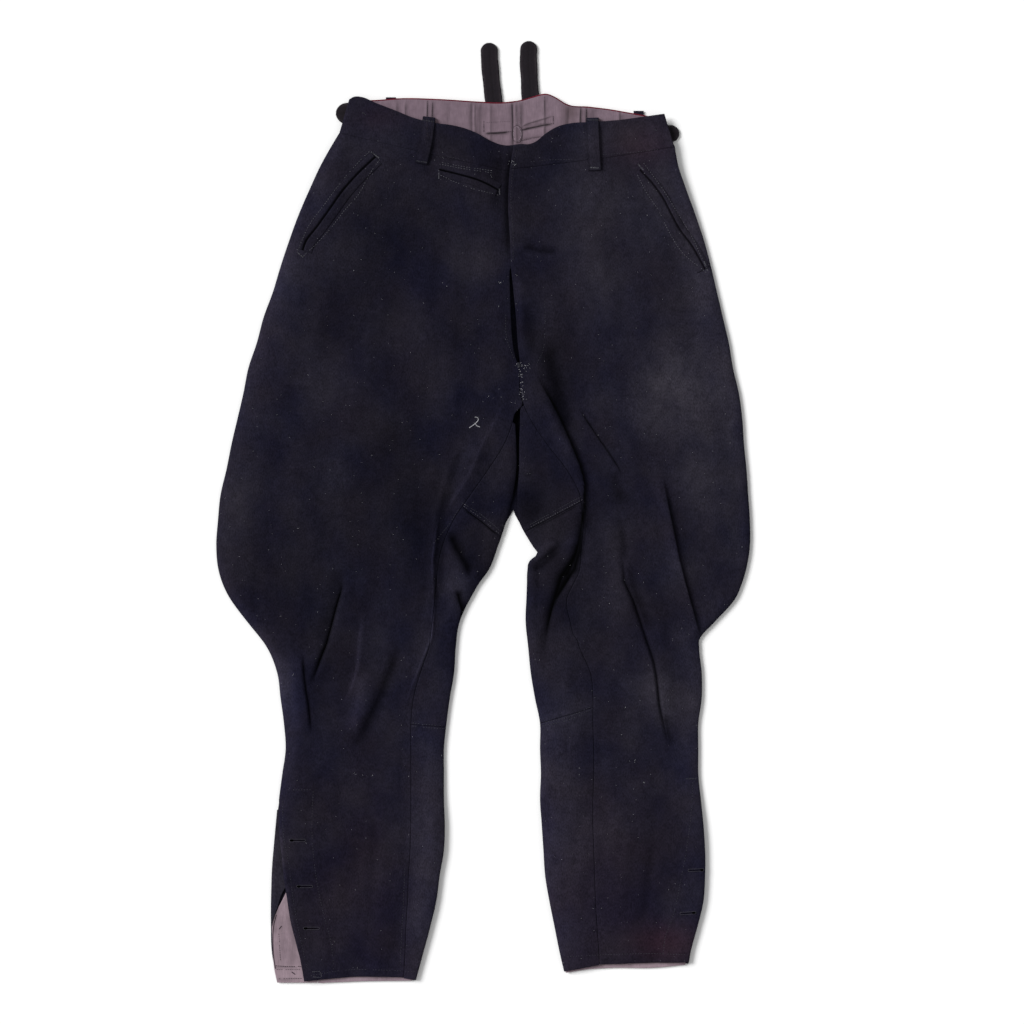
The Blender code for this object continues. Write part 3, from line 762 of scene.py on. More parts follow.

# Creases of each leg's upper layer. Their shade numbers paint shade into the folds' hollows and
# along dark crease lines; negative ones paint highlights along lit ridges and edges, partly worn
# nap.
RIGHT_RELIEF = Relief((
    Crease(((36.5, 439), (29.5, 392), (28.5, 368), (29.5, 333), (29.5, 309), (32, 288)), -1.0, 9, 3,
           0, 5, 0.75, 5, 5),
    Crease(((20, 427), (16.5, 386), (17.5, 350.5)), -1.0, 9, 6, 0, 5, 0.35, 10, 8),
    Crease(((8.5, 97), (-15.5, 59), (-36.5, 14)), 1.6, 6, 8),
    Crease(((-25.5, 5.5), (-2.5, -11), (20.5, -30.5)), 0, 5, 5, 0, 5, 0.8, 0.9, 0.9),
    Crease(((-163.5, -74.5), (-167.5, -94.5), (-172.5, -111), (-177, -128.5), (-184, -154.5),
           (-192.5, -176), (-204, -207.5)), 4, 20, 28, 3.0, 2.2, 0.95, 3.2, 1.8, 0, True),
    Crease(((-165, -62.5), (-174.5, -100.5), (-181.5, -127.5), (-192.5, -163)), -2, 16, 7, 0, 5,
           0.45, 14, 4),
    Crease(((-212.5, -165), (-211, -192.5), (-209, -210), (-206, -227.5), (-202, -266.5)), 2.5, 13,
           16, 2.4, 2.0, 0.9, 1.8, 2.8, 0, True),
    Crease(((-225.5, -163), (-223, -198), (-218.5, -239.5), (-216, -275)), 2.0, 8, 8, 0, 5, -0.3,
           9, 9),
    Crease(((-314, -33), (-309, -66), (-297.5, -97), (-278.5, -124), (-259.5, -151),
           (-244.5, -177), (-238.5, -216), (-233.5, -269)), 0.6, 6, 6, 0, 5, -0.4, 6, 7),
    Crease(((-240.5, -354), (-238.5, -393), (-235, -422.5), (-230.5, -449.5), (-226.5, -475.5),
           (-220.5, -505), (-215, -538)), 0, 5, 5, 0, 5, -0.5, 1.6, 1.6),
    Crease(((-143, -115.5), (-146.5, -157), (-150, -190), (-157, -210), (-166.5, -231.5)), 0.8, 3,
           14, 0, 5, -0.9, 1.2, 3.0, 0, True),
    Crease(((-141.5, -184), (-146.5, -227.5), (-156, -266.5)), 0.8, 9, 10, 0, 5, -0.8, 9, 8),
    Crease(((-100.5, -151), (-108.5, -180.5), (-121.5, -212.5), (-133.5, -239.5), (-147.5, -266.5),
           (-159.5, -286.5)), -3.0, 5, 12, 0, 5, 0.65, 2.0, 9, 0, True),
    Crease(((26, 132), (10.5, 102.5), (-6, 71), (-17.5, 43.5), (-36.5, 14), (-47, -9.5)), 0, 5, 5,
           0, 5, -0.7, 1.4, 2.0),
    Crease(((-47, 14), (-55.5, -21), (-60, -56.5), (-59, -109.5), (-61, -147.5), (-72.5, -176),
            (-85, -207.5), (-97, -240.5)), 1.2, 4, 3, 0, 5, -1.0, 1.1, 1.0, 0, True),
    Crease(((-24, 87), (-38, 34), (-45, 11), (-52, -14), (-57, -61), (-55, -98), (-57, -135)),
           -4, 15, 15, 0, 5, 0.35, 6, 8),
    Crease(((-4, 87), (-20, 45), (-36, 5)), 4, 13, 18),
    Crease(((-33, 82.5), (-43.5, 35.5), (-55.5, -12), (-59, -81.5), (-68.5, -154.5)), 2.4, 4.5, 6),
    Crease(((-42.5, 49.5), (-49.5, 2.5), (-50.5, -39), (-55.5, -104)), -2.0, 5, 6, 0, 5, 0.4, 2, 6),
    Crease(((-42.5, -21), (-32, -42.5), (-21, -61.5), (-13, -82.5)), -3.5, 5, 9, 0, 5, 0.85, 4, 9),
    Crease(((-20, -47), (-10.5, -63.5), (-6, -80)), 2.0, 6, 5),
    Crease(((-32, -89.5), (-28.5, -104), (-25, -117), (-27, -132)), -3.0, 3, 6, 0, 5, 0.95, 1.8,
           6.5, 0, True),
    Crease(((-121.5, 321), (-131, 215), (-154.5, 108.5), (-171, 14)), 1.3, 12, 16),
    Crease(((-62.5, 333), (-68.5, 226.5), (-76.5, 132)), 1.0, 10, 12),
    Crease(((-216, 215), (-245.5, 108.5), (-261, 14)), 1.2, 12, 12),
    Crease(((-15.5, 297.5), (-25, 215), (-33, 132)), -1.1, 8, 10),
    Crease(((-180.5, -304.5), (-174.5, -399), (-163, -505)), 0.9, 9, 9),
    Crease(((-127.5, -340), (-131, -422.5), (-135.5, -517)), -0.9, 7, 8, 0, 5, 0.15, 5, 5),
    Crease(((-100.5, -316), (-98, -434), (-105, -517)), 0.8, 7, 7),
    Crease(((-216, 49.5), (-180.5, 14), (-131, 8.5)), -0.8, 9, 9),
    Crease(((-145, -74.5), (-124, -104), (-117, -151)), 0.9, 9, 9),
))
LEFT_RELIEF = Relief((
    Crease(((76.5, 209), (84, 165), (94.5, 122.5), (107.5, 82.5)), -4, 9, 11, 0, 5, 0.6, 13, 10),
    Crease(((56.5, 173.5), (67.5, 153.5), (79.5, 132), (90.5, 111), (103, 82.5), (114, 56),
            (120.5, 33), (122, 12), (121.5, -9.5), (118, -39), (112, -56.5)), 3.0, 14, 3.5,
           1.0, 1.6, 0.98, 1.0, 4.0, 0, True),
    Crease(((71, 132), (81.5, 111), (94.5, 84), (105, 58)), 1.5, 5, 5, 0, 5, -0.2, 5, 4),
    Crease(((120.5, 49.5), (122.5, 12), (121.5, -19), (118, -50.5), (107.5, -82.5), (92, -106),
           (80, -139), (72, -158)), 4, 3, 38, 0, 5, 0, 5, 5, 3),
    Crease(((105, 0), (99, -29.5), (89.5, -56.5), (76.5, -80), (67.5, -106)), -5, 14, 12),
    Crease(((122.5, 38), (121.5, -3.5), (117, -27), (112, -45), (104, -60), (93, -76.5),
           (87.5, -94.5), (81.5, -118), (74.5, -148.5), (69.5, -177)), -2, 7, 4, 0, 5, 0.98, 6, 3,
           0, True),
    Crease(((120.5, 8.5), (119, -21), (117, -47), (111, -68.5), (99, -82.5), (89.5, -99),
            (78, -133.5)), 0, 5, 5, 0, 5, 0.98, 9, 3.5),
    Crease(((114.5, -28.5), (109.5, -52), (100.5, -71), (91, -87.5)), 0, 5, 5, 0, 5, 0.98, 6, 6),
    Crease(((118.5, 11), (87.5, -5.5), (56, -22)), 0, 5, 5, 0, 5, 0.8, 0.9, 0.9),
    Crease(((164, -42.5), (166, -63.5), (168.5, -82.5), (179, -105), (189, -134.5), (198, -160.5),
           (203.5, -177), (206.5, -193.5), (210, -226.5), (213, -243), (216.5, -262),
           (220.5, -288)), 4, 22, 24, 3.0, 2.4, 0.85, 0.9, 2.4, 2, True),
    Crease(((171, -56.5), (179.5, -92), (190, -118), (199.5, -146.5)), -2.5, 5, 10, 0, 5, 0.4, 2,
           8),
    Crease(((215, -236), (218.5, -257), (222, -278.5)), -1.5, 3, 5, 0, 5, 0.6, 1.5, 5),
    Crease(((180.5, -56.5), (197, -104), (213.5, -151), (218.5, -210)), 2.0, 8, 16),
    Crease(((206.5, 52), (213, 36.5), (218.5, 9.5), (224, -16.5), (232, -56.5), (239.5, -85),
            (248, -115), (255, -141.5), (263, -177)), 2.9, 26, 2.4, 0, 5, 0.85, 0.7, 1.9, 0, True),
    Crease(((218.5, 26), (227.5, -9.5), (237, -47), (245.5, -80), (255, -115.5)), -1.5, 5, 16,
           0, 5, 0.2, 3, 17),
    Crease(((203, 49.5), (212.5, 8.5), (223, -39), (236, -86)), 0.8, 8, 8, 0, 5, -0.25, 9, 6),
    Crease(((111, 125), (126.5, 102), (135.5, 88.5), (148.5, 70), (158, 55.5), (166.5, 38)), 1.2, 9,
           7, 1.2, 1.6, 0.9, 0.9, 1.5, 0, True),
    Crease(((152, 49.5), (159.5, 28.5), (166.5, 7)), -1.4, 9, 9, 0, 5, 0.35, 7, 7),
    Crease(((128.5, 130), (145, 108.5), (164, 87.5), (185.5, 71)), 1.0, 8, 10),
    Crease(((161.5, -3.5), (166.5, -39), (167.5, -62.5)), -1.2, 6, 6, 0, 5, 0.4, 4, 4),
    Crease(((46, 314), (67.5, 308), (93, 307)), -1.8, 5, 5, 0, 5, 0.5, 3, 4),
    Crease(((48.5, 304.5), (69.5, 298.5), (91, 298.5)), 1.4, 6, 6),
    Crease(((48.5, 250), (55.5, 215), (62.5, 179.5)), -1.2, 7, 9, 0, 5, 0.3, 5, 9),
    Crease(((36.5, 427), (33, 392), (32, 362.5), (33, 330.5), (34, 295)), 1.2, 3, 9),
    Crease(((39, 283), (41.5, 250), (43.5, 215), (49.5, 177)), 0, 5, 5, 0, 5, -0.4, 3, 4),
    Crease(((91, -42.5), (79, -54.5), (68.5, -63.5), (53, -71)), -2.6, 7, 6, 0, 5, 0.6, 6, 4),
    Crease(((88.5, -34), (76.5, -43.5), (62.5, -50.5)), 2.2, 6, 6, 0, 5, -0.2, 5, 5),
    Crease(((55.5, -86), (56.5, -127.5), (62.5, -174.5)), 1.4, 7, 6),
    Crease(((138, 321), (152, 226.5), (159.5, 132)), 1.2, 12, 14),
    Crease(((209, 262), (244.5, 167.5), (262, 61.5)), 1.2, 12, 12),
    Crease(((91, 297.5), (108.5, 226.5), (126.5, 156)), -1.1, 9, 9),
    Crease(((185.5, 108.5), (209, 14), (218.5, -56.5)), -0.9, 12, 12),
    Crease(((161.5, -316), (167.5, -410.5), (161.5, -505)), 0.9, 9, 9),
    Crease(((203, -328), (197, -422.5), (185.5, -517)), -0.9, 7, 8, 0, 5, 0.15, 5, 5),
    Crease(((144, -222), (152, -340), (152, -458)), 0.8, 7, 7),
    Crease(((91, -104), (98, -151), (98, -210)), 0.9, 8, 8),
))
# The back panels' low ridges. The first crease paints shade on the back panel where it shows
# through the gap at the crotch; the others add a little painted shade along the ridges.
BACK_RELIEF = Relief((
    Crease(((42.5, 156), (40, 118), (38, 85), (36.5, 43.5), (35.5, 2.5)), 0, 5, 5, 0, 5, 0.93,
           11, 11),
    Crease(((-230, 330), (-240, 180), (-235, 60)), 1.0, 12, 16, 0, 5, 0.1),
    Crease(((-120, 300), (-100, 140), (-70, 20)), 0.9, 14, 12, 0, 5, 0.1),
    Crease(((20, 60), (-60, -30), (-150, -70)), 1.2, 9, 13, 0, 5, 0.15),
    Crease(((-250, -60), (-200, -140), (-170, -230)), 1.1, 10, 14, 0, 5, 0.12),
    Crease(((-130, -240), (-140, -380), (-150, -500)), 0.8, 8, 9, 0, 5, 0.1),
    Crease(((230, 310), (250, 170), (240, 40)), 1.0, 16, 12, 0, 5, 0.1),
    Crease(((120, 280), (110, 150), (130, 30)), 0.9, 12, 14, 0, 5, 0.1),
    Crease(((60, 40), (140, -30), (240, -60)), 1.2, 13, 9, 0, 5, 0.15),
    Crease(((250, -70), (210, -150), (180, -240)), 1.1, 14, 10, 0, 5, 0.12),
    Crease(((170, -260), (190, -390), (180, -500)), 0.8, 9, 8, 0, 5, 0.1),
))
# Creases pressed down the lining: east places at the top, the middle and the foot, the level of
# the top, the height, and the painted shade along it (negative for a painted highlight) with its
# reach to the west and the east
LINING_PRESSES = (
    (-102.5, -101.5, -100.5, 489.5, 0.6, 0.35, 1.2, 1.4),
    (-91, -92, -92, 489.5, 0.5, 0.5, 0.9, 1.2), (-65.5, -66, -65.5, 489.5, 0.7, 0.8, 0.9, 1),
    (-59.5, -60, -60, 489.5, 0.6, 0.7, 1, 1), (-39, -40, -40, 489.5, -0.4, 0.15, 5, 5),
    (-13, -13.5, -12, 489.5, -0.6, 0.45, 2.4, 1.2), (-9, -9.5, -8.5, 489.5, 0.5, 0.5, 0.8, 1.2),
    (-2.5, -3.5, -3.5, 489.5, -0.5, 0.35, 2, 3), (9.5, 9, 9.5, 489.5, 0.5, 0.4, 0.9, 1.2),
    (34, 35, 35.5, 489.5, -0.7, 0.85, 1.4, 1.2), (39, 39.5, 40, 489.5, 0.5, 0.6, 0.9, 1),
    (45.5, 45.5, 46, 489.5, -0.5, 0.45, 1.6, 2.2), (72.5, 73, 72.5, 495.5, 0.5, 0.6, 0.8, 0.9),
    (101.5, 100.5, 98, 484, -0.6, 0.35, 4, 1.5), (115.5, 115, 114.5, 484, 0.7, 0.85, 0.9, 1.1),
    (122, 122, 121.5, 484, 0.6, 0.85, 1, 1), (131, 131, 130, 484, -0.4, 0.2, 4, 4),
    (161.5, 161.5, 160.5, 484, 0.5, 0.55, 0.8, 1),
)
LINING_RELIEF = Relief(tuple(
    Crease(((top, level), (middle, 462.5), (foot, 425)), height, 2.2, 2.6, shade=shade,
           shade_west=west, shade_east=east, crisp=True)
    for top, middle, foot, level, height, shade, west, east in LINING_PRESSES
) + (
    # Lines across the inner pocket, with painted shade along them
    Crease(((1, 447), (16.5, 447.5), (33, 449)), 0.6, 1.4, 1.6, 0, 5, 0.98, 1.3, 1.2, 0, True),
    Crease(((41.5, 453.5), (55.5, 459.5), (69.5, 463.5), (85, 468.5)), 0.5, 1.4, 1.6, 0, 5, 0.6,
           0.8, 0.8, 0, True),
    Crease(((41.5, 449.5), (55.5, 453.5), (69.5, 456.5), (85, 458.5)), -0.7, 1.6, 1.6, 0, 5, 1.0,
           1.4, 1.3, 0, True),
    Crease(((42.5, 438), (56.5, 441.5), (71, 444)), -0.5, 1.6, 1.6, 0, 5, 0.5, 1.1, 1.1),
))


@dataclass(frozen=True)
class Spot:
    """A patch with soft ends, for fades, stains and painted darker patches."""

    x: float
    y: float
    wide: float
    tall: float
    strength: float


@dataclass(frozen=True)
class Wear:
    """Where the wool has faded or turned reddish, and where it is painted darker: partly darker
    wool, partly painted shade in hollows and folds.
    """

    faded: tuple[Spot, ...]
    rusty: tuple[Spot, ...]
    dimmed: tuple[Spot, ...]
    dim_share: float = 0.84
    dim_most: float = 0.6

    @staticmethod
    def total(spots: Sequence[Spot], x: np.ndarray, y: np.ndarray) -> np.ndarray:
        """Adds up soft spots at each place."""
        found = np.zeros(x.shape)
        for spot in spots:
            away = ((x - spot.x) / spot.wide) ** 2 + ((y - spot.y) / spot.tall) ** 2
            found += spot.strength * np.exp(-away)
        return found

    def marks(self, x: np.ndarray, y: np.ndarray, shade: np.ndarray | float = 0.0) -> Marks:
        """The fade, rust and shade values at each place; the shade joins the dimmed spots to a
        layer's own painted shade.
        """
        dim = np.clip(self.dim_share * self.total(self.dimmed, x, y), -self.dim_most, self.dim_most)
        return {"fade": np.clip(self.total(self.faded, x, y), 0.0, 1.0),
                "rust": np.clip(self.total(self.rusty, x, y), 0.0, 1.0),
                "shade": 1.0 - (1.0 - shade) * (1.0 - dim)}


WEAR = Wear(
    faded=(
        Spot(223, 141.5, 46, 56, 0.9), Spot(126.5, 362.5, 52, 46, 0.42),
        Spot(134.5, 268, 30, 60, 0.35), Spot(252.5, 262, 34, 70, 0.40),
        Spot(282, 132, 24, 80, 0.30), Spot(212.5, 380, 30, 50, 0.35),
        Spot(-275, 132, 20, 90, 0.12), Spot(92, -245.5, 26, 60, 0.25),
        Spot(252.5, -222, 20, 60, 0.20), Spot(-68.5, -410.5, 24, 110, 0.35),
        Spot(209, -210, 26, 36, 0.55), Spot(-15.5, 303.5, 42, 42, 0.24),
        Spot(-186.5, 150, 30, 34, 0.26), Spot(-180.5, 38, 20, 36, 0.28),
        Spot(-286.5, 14, 26, 44, 0.34), Spot(-168.5, 309, 40, 44, 0.20),
        Spot(256, 38, 26, 50, 0.45), Spot(102.5, -399, 30, 60, 0.24),
        Spot(297.5, 14, 14, 90, 0.30), Spot(-216, 427, 60, 26, 0.10),
        Spot(161.5, 439, 60, 20, 0.30), Spot(-180.5, -104, 16, 40, 0.18),
        Spot(156, -56.5, 14, 60, 0.30), Spot(138, -434, 40, 90, 0.12),
        Spot(-104, 436.5, 30, 30, 0.22), Spot(-229, 271.5, 22, 34, 0.22),
        Spot(-108.5, 211, 22, 22, 0.18), Spot(138, 131, 20, 24, 0.22),
        Spot(-309, -29.5, 16, 30, 0.22), Spot(86, -25, 15, 16, 0.28),
        Spot(-28.5, -89.5, 16, 30, 0.36), Spot(-68.5, -150, 14, 24, 0.25),
        Spot(235, -69.5, 20, 26, 0.32), Spot(212.5, -230, 14, 22, 0.3),
        Spot(172.5, -270, 18, 24, 0.28), Spot(-235, -210, 12, 50, 0.14),
    ),
    rusty=(Spot(213.5, -507.5, 42, 22, 0.26), Spot(185.5, 433, 34, 24, 0.16),
           Spot(-121.5, 465, 30, 16, 0.08), Spot(138, -446, 70, 120, 0.06),
           Spot(-145, -446, 70, 120, 0.05)),
    # Patches painted darker: partly darker wool, partly painted shade in hollows; a negative one is
    # painted paler
    dimmed=(Spot(73, 427, 26, 26, 0.2), Spot(20, 397.5, 34, 46, 0.25),
            Spot(-33, 427, 50, 20, 0.15), Spot(-108.5, 91, 22, 22, 0.32),
            Spot(-189, 211, 22, 24, 0.22), Spot(-28.5, 211, 22, 26, 0.25),
            Spot(52, 211, 18, 26, 0.28), Spot(52, 10.5, 20, 26, 0.28),
            Spot(94.5, -72, 13, 20, 0.38), Spot(-28.5, -92, 16, 28, -0.28),
            Spot(-107.5, 335, 62, 62, 0.34), Spot(-154.5, 250, 44, 60, 0.28),
            Spot(-92, 2.5, 50, 84, 0.42), Spot(-174.5, 2.5, 46, 60, 0.16),
            Spot(-227.5, -80, 60, 60, 0.30), Spot(92, 173.5, 24, 50, 0.34),
            Spot(61.5, -3.5, 26, 30, 0.38), Spot(89.5, -104, 24, 36, 0.40),
            Spot(-190, -163, 30, 40, 0.26), Spot(-180.5, -363.5, 30, 90, 0.14),
            Spot(135.5, 8.5, 30, 60, 0.14), Spot(163, 17.5, 10, 12, 0.3),
            Spot(181.5, -109.5, 16, 30, 0.26),
            Spot(-3.5, -39, 30, 50, 0.3), Spot(73, 38, 34, 50, 0.2),
            Spot(-98, 132, 60, 80, 0.12), Spot(20, 215, 34, 110, 0.12)),
)


class Surface:
    """The upper faces of finished pieces, read from above."""

    def __init__(self, pieces: Sequence[bpy.types.Object]) -> None:
        """Gathers the pieces.

        Args:
            pieces: the pieces whose upper faces are read.
        """
        self.trees = []
        self.add(*pieces)

    def add(self, *pieces: bpy.types.Object) -> None:
        """Adds more pieces."""
        for piece in pieces:
            points = [vertex.co for vertex in piece.data.vertices]
            faces = [face.vertices[:] for face in piece.data.polygons]
            self.trees.append(BVHTree.FromPolygons(points, faces))

    def top(self, x: float, y: float) -> float:
        """Height of the highest piece at a place, or -1 beside them."""
        start, down = Vector((x * MM, y * MM, 0.2)), Vector((0.0, 0.0, -1.0))
        hits = (tree.ray_cast(start, down)[0] for tree in self.trees)
        return max((hit.z / MM for hit in hits if hit is not None), default=-1.0)

    def tops(self, x: np.ndarray, y: np.ndarray) -> np.ndarray:
        """The same for arrays of places."""
        return np.vectorize(self.top, otypes=[float])(x, y)


@dataclass
class LegPanels:
    """Backs, fronts and the pieces inside each front's inner seam."""

    legs: dict[Side, LegForm]
    wool: bpy.types.Material
    step: float = 2.7
    back_step: float = 5.0
    under_fly: float = 8.0
    crotch: float = 8.0
    centre_back: float = -0.7
    back_level: float = 0.86
    back_rise: float = 2.8
    back_ripples: float = 0.8
    back_loft: float = 1.8
    seam_gap: float = 0.05
    seam_ajar: float = 0.9
    inner_gap: float = 0.12
    hem_bow: dict[Side, float] = field(default_factory=lambda: {Side.RIGHT: 1.8, Side.LEFT: 5.0})
    front_bow: dict[Side, float] = field(default_factory=lambda: {Side.RIGHT: 3.2, Side.LEFT: 0.6})
    back_top: dict[Side, Point] = field(default_factory=lambda: {
        Side.RIGHT: (452, 444), Side.LEFT: (434, 444)})
    back_hem: dict[Side, Point] = field(default_factory=lambda: {
        Side.RIGHT: (-556.5, -554), Side.LEFT: (-535, -544)})
    inner_pieces: dict[Side, dict] = field(default_factory=lambda: {
        Side.RIGHT: {"saddle_patch": ((106, 6.5), (104, -29)),
                     "inner_thigh": ((6.2, -251), (-29.2, -254)),
                     "inner_calf": ((-251.2, -551), (-254.2, -553))},
        Side.LEFT: {"saddle_patch": ((126, 12.5), (124, -23.5)),
                    "inner_thigh": ((12.2, -231), (-23.8, -249.5)),
                    "inner_calf": ((-231.2, -535), (-249.8, -543))}})

    def build(self) -> dict[str, bpy.types.Object]:
        """Builds all the leg panels."""
        made = {}
        for side in Side:
            made[f"back_{side.value}"] = self.back(side)
            made[f"front_{side.value}"] = self.front(side)
            for name, (at_seam, at_edge) in self.inner_pieces[side].items():
                made[f"{name}_{side.value}"] = self.inner(side, name, at_seam, at_edge)
        return made

    def back(self, side: Side) -> bpy.types.Object:
        """Builds one back panel, flat on the table."""
        leg = self.legs[side]
        outer_top, inner_top = self.back_top[side]
        outer_hem, inner_hem = self.back_hem[side]
        inward = -self.centre_back if side is Side.RIGHT else self.centre_back

        def inner_edge(t: np.ndarray) -> np.ndarray:
            """Centre back seam above the crotch, the leg's inner edge below it."""
            levels = inner_top + (inner_hem - inner_top) * t
            own = leg.column("inner", levels)
            middle = sum(form.column("inner", levels) for form in self.legs.values()) / 2.0
            share = ramp(levels, self.crotch - 22.0, self.crotch)
            return np.column_stack([own + (middle - own) * share + inward, levels])

        plan = ruled(leg.edge("outer", outer_top, outer_hem), inner_edge, self.back_step)
        share = np.linspace(0.0, 1.0, plan.shape[1])[None, :]
        plan[..., 1] += (self.hem_bow[side] * np.sin(np.pi * share)
                         * ramp(-plan[..., 1], 480.0, 545.0))
        x, y = plan[..., 0], plan[..., 1]
        height, shade, _ = BACK_RELIEF.read(x, y)
        held = ramp(from_rim(plan), 4.0, 26.0)
        waves = height + leg.ripples.read(x, y) * self.back_ripples
        low = np.clip(waves, 0.0, self.back_loft) * held
        centre = np.dstack([plan, self.back_level + self.back_rise * ramp(y, 350, 425) + low])
        return Cloth(f"cloth_back_{side.value}", Slot.WOOL, self.wool, (f"back_{side.value}",),
                     ("floor",)).make(centre, WEAR.marks(x, y, shade))

    def seam(self, side: Side, levels: np.ndarray) -> np.ndarray:
        """The front's inner edge, with the fly's hidden lap and the sewn crotch seam."""
        place = self.legs[side].column("seam", levels)
        other = self.legs[Side.LEFT].column("seam", levels)
        if side is Side.LEFT:
            return place + self.seam_gap
        sewn = ramp(levels, 115, 131) * (1.0 - ramp(levels, 168, 182))
        lapped = self.under_fly * ramp(levels, 285, 295)
        ajar = self.seam_ajar * ramp(levels, 170, 190) * (1.0 - ramp(levels, 278, 290))
        return place - self.seam_gap - ajar + (other - place) * sewn + lapped

    def front(self, side: Side) -> bpy.types.Object:
        """Builds one front panel, from the waist seam to the hem."""
        leg = self.legs[side]
        seam_levels = {Side.RIGHT: (402, -550), Side.LEFT: (405, -534.5)}[side]
        outer_levels = {Side.RIGHT: (448, -555), Side.LEFT: (432, -532)}[side]

        def seam_edge(t: np.ndarray) -> np.ndarray:
            """The inner seam."""
            levels = seam_levels[0] + (seam_levels[1] - seam_levels[0]) * t
            return np.column_stack([self.seam(side, levels), levels])

        def outer_edge(t: np.ndarray) -> np.ndarray:
            """The side seam, or the open vent's free edge."""
            levels = outer_levels[0] + (outer_levels[1] - outer_levels[0]) * t
            place = leg.column("outer", levels)
            if side is Side.RIGHT:
                rows = sorted(VENT_EDGE, key=lambda point: point[1])
                free = curve([row[1] for row in rows], [row[0] for row in rows], levels)
                place = place + (free - place) * ramp(-levels, -VENT_TOP - 3.0, -VENT_TOP + 3.0)
            return np.column_stack([place, levels])

        plan = leg.relief.gather(ruled(seam_edge, outer_edge, self.step))
        share = np.linspace(0.0, 1.0, plan.shape[1])[None, :]
        plan[..., 1] += (self.front_bow[side] * np.sin(np.pi * share)
                         * ramp(-plan[..., 1], 490.0, 550.0))
        x, y = plan[..., 0], plan[..., 1]
        centre, shade = leg.lay(x, y)
        if side is Side.LEFT:
            from_fly = np.abs(x - leg.column("seam", y))
            centre[..., 2] += (FLY_LIFT * (1.0 - ramp(from_fly, *FLY_REACH))
                               * ramp(y, 236, 268))
        return Cloth(f"cloth_front_{side.value}", Slot.WOOL, self.wool,
                     (f"front_{side.value}",), (f"cloth_back_{side.value}",)
                     ).make(centre, WEAR.marks(x, y, shade))

    def inner(self, side: Side, name: str, at_seam: Point, at_edge: Point) -> bpy.types.Object:
        """Builds one piece inside the front's inner seam.

        Args:
            side: the leg.
            name: the piece.
            at_seam: its top and bottom levels along the seam.
            at_edge: the same along the leg's inner edge.

        Returns:
            The piece.
        """
        leg = self.legs[side]
        shift = self.inner_gap if side is Side.RIGHT else -self.inner_gap
        plan = leg.relief.gather(ruled(leg.edge("seam", *at_seam, shift),
                                       leg.edge("inner", *at_edge, 0.0), 2.0))
        x, y = plan[..., 0], plan[..., 1]
        centre, shade = leg.lay(x, y)
        return Cloth(f"cloth_{name}_{side.value}", Slot.WOOL, self.wool,
                     (f"{name}_{side.value}",), (f"cloth_back_{side.value}",)
                     ).make(centre, WEAR.marks(x, y, shade))


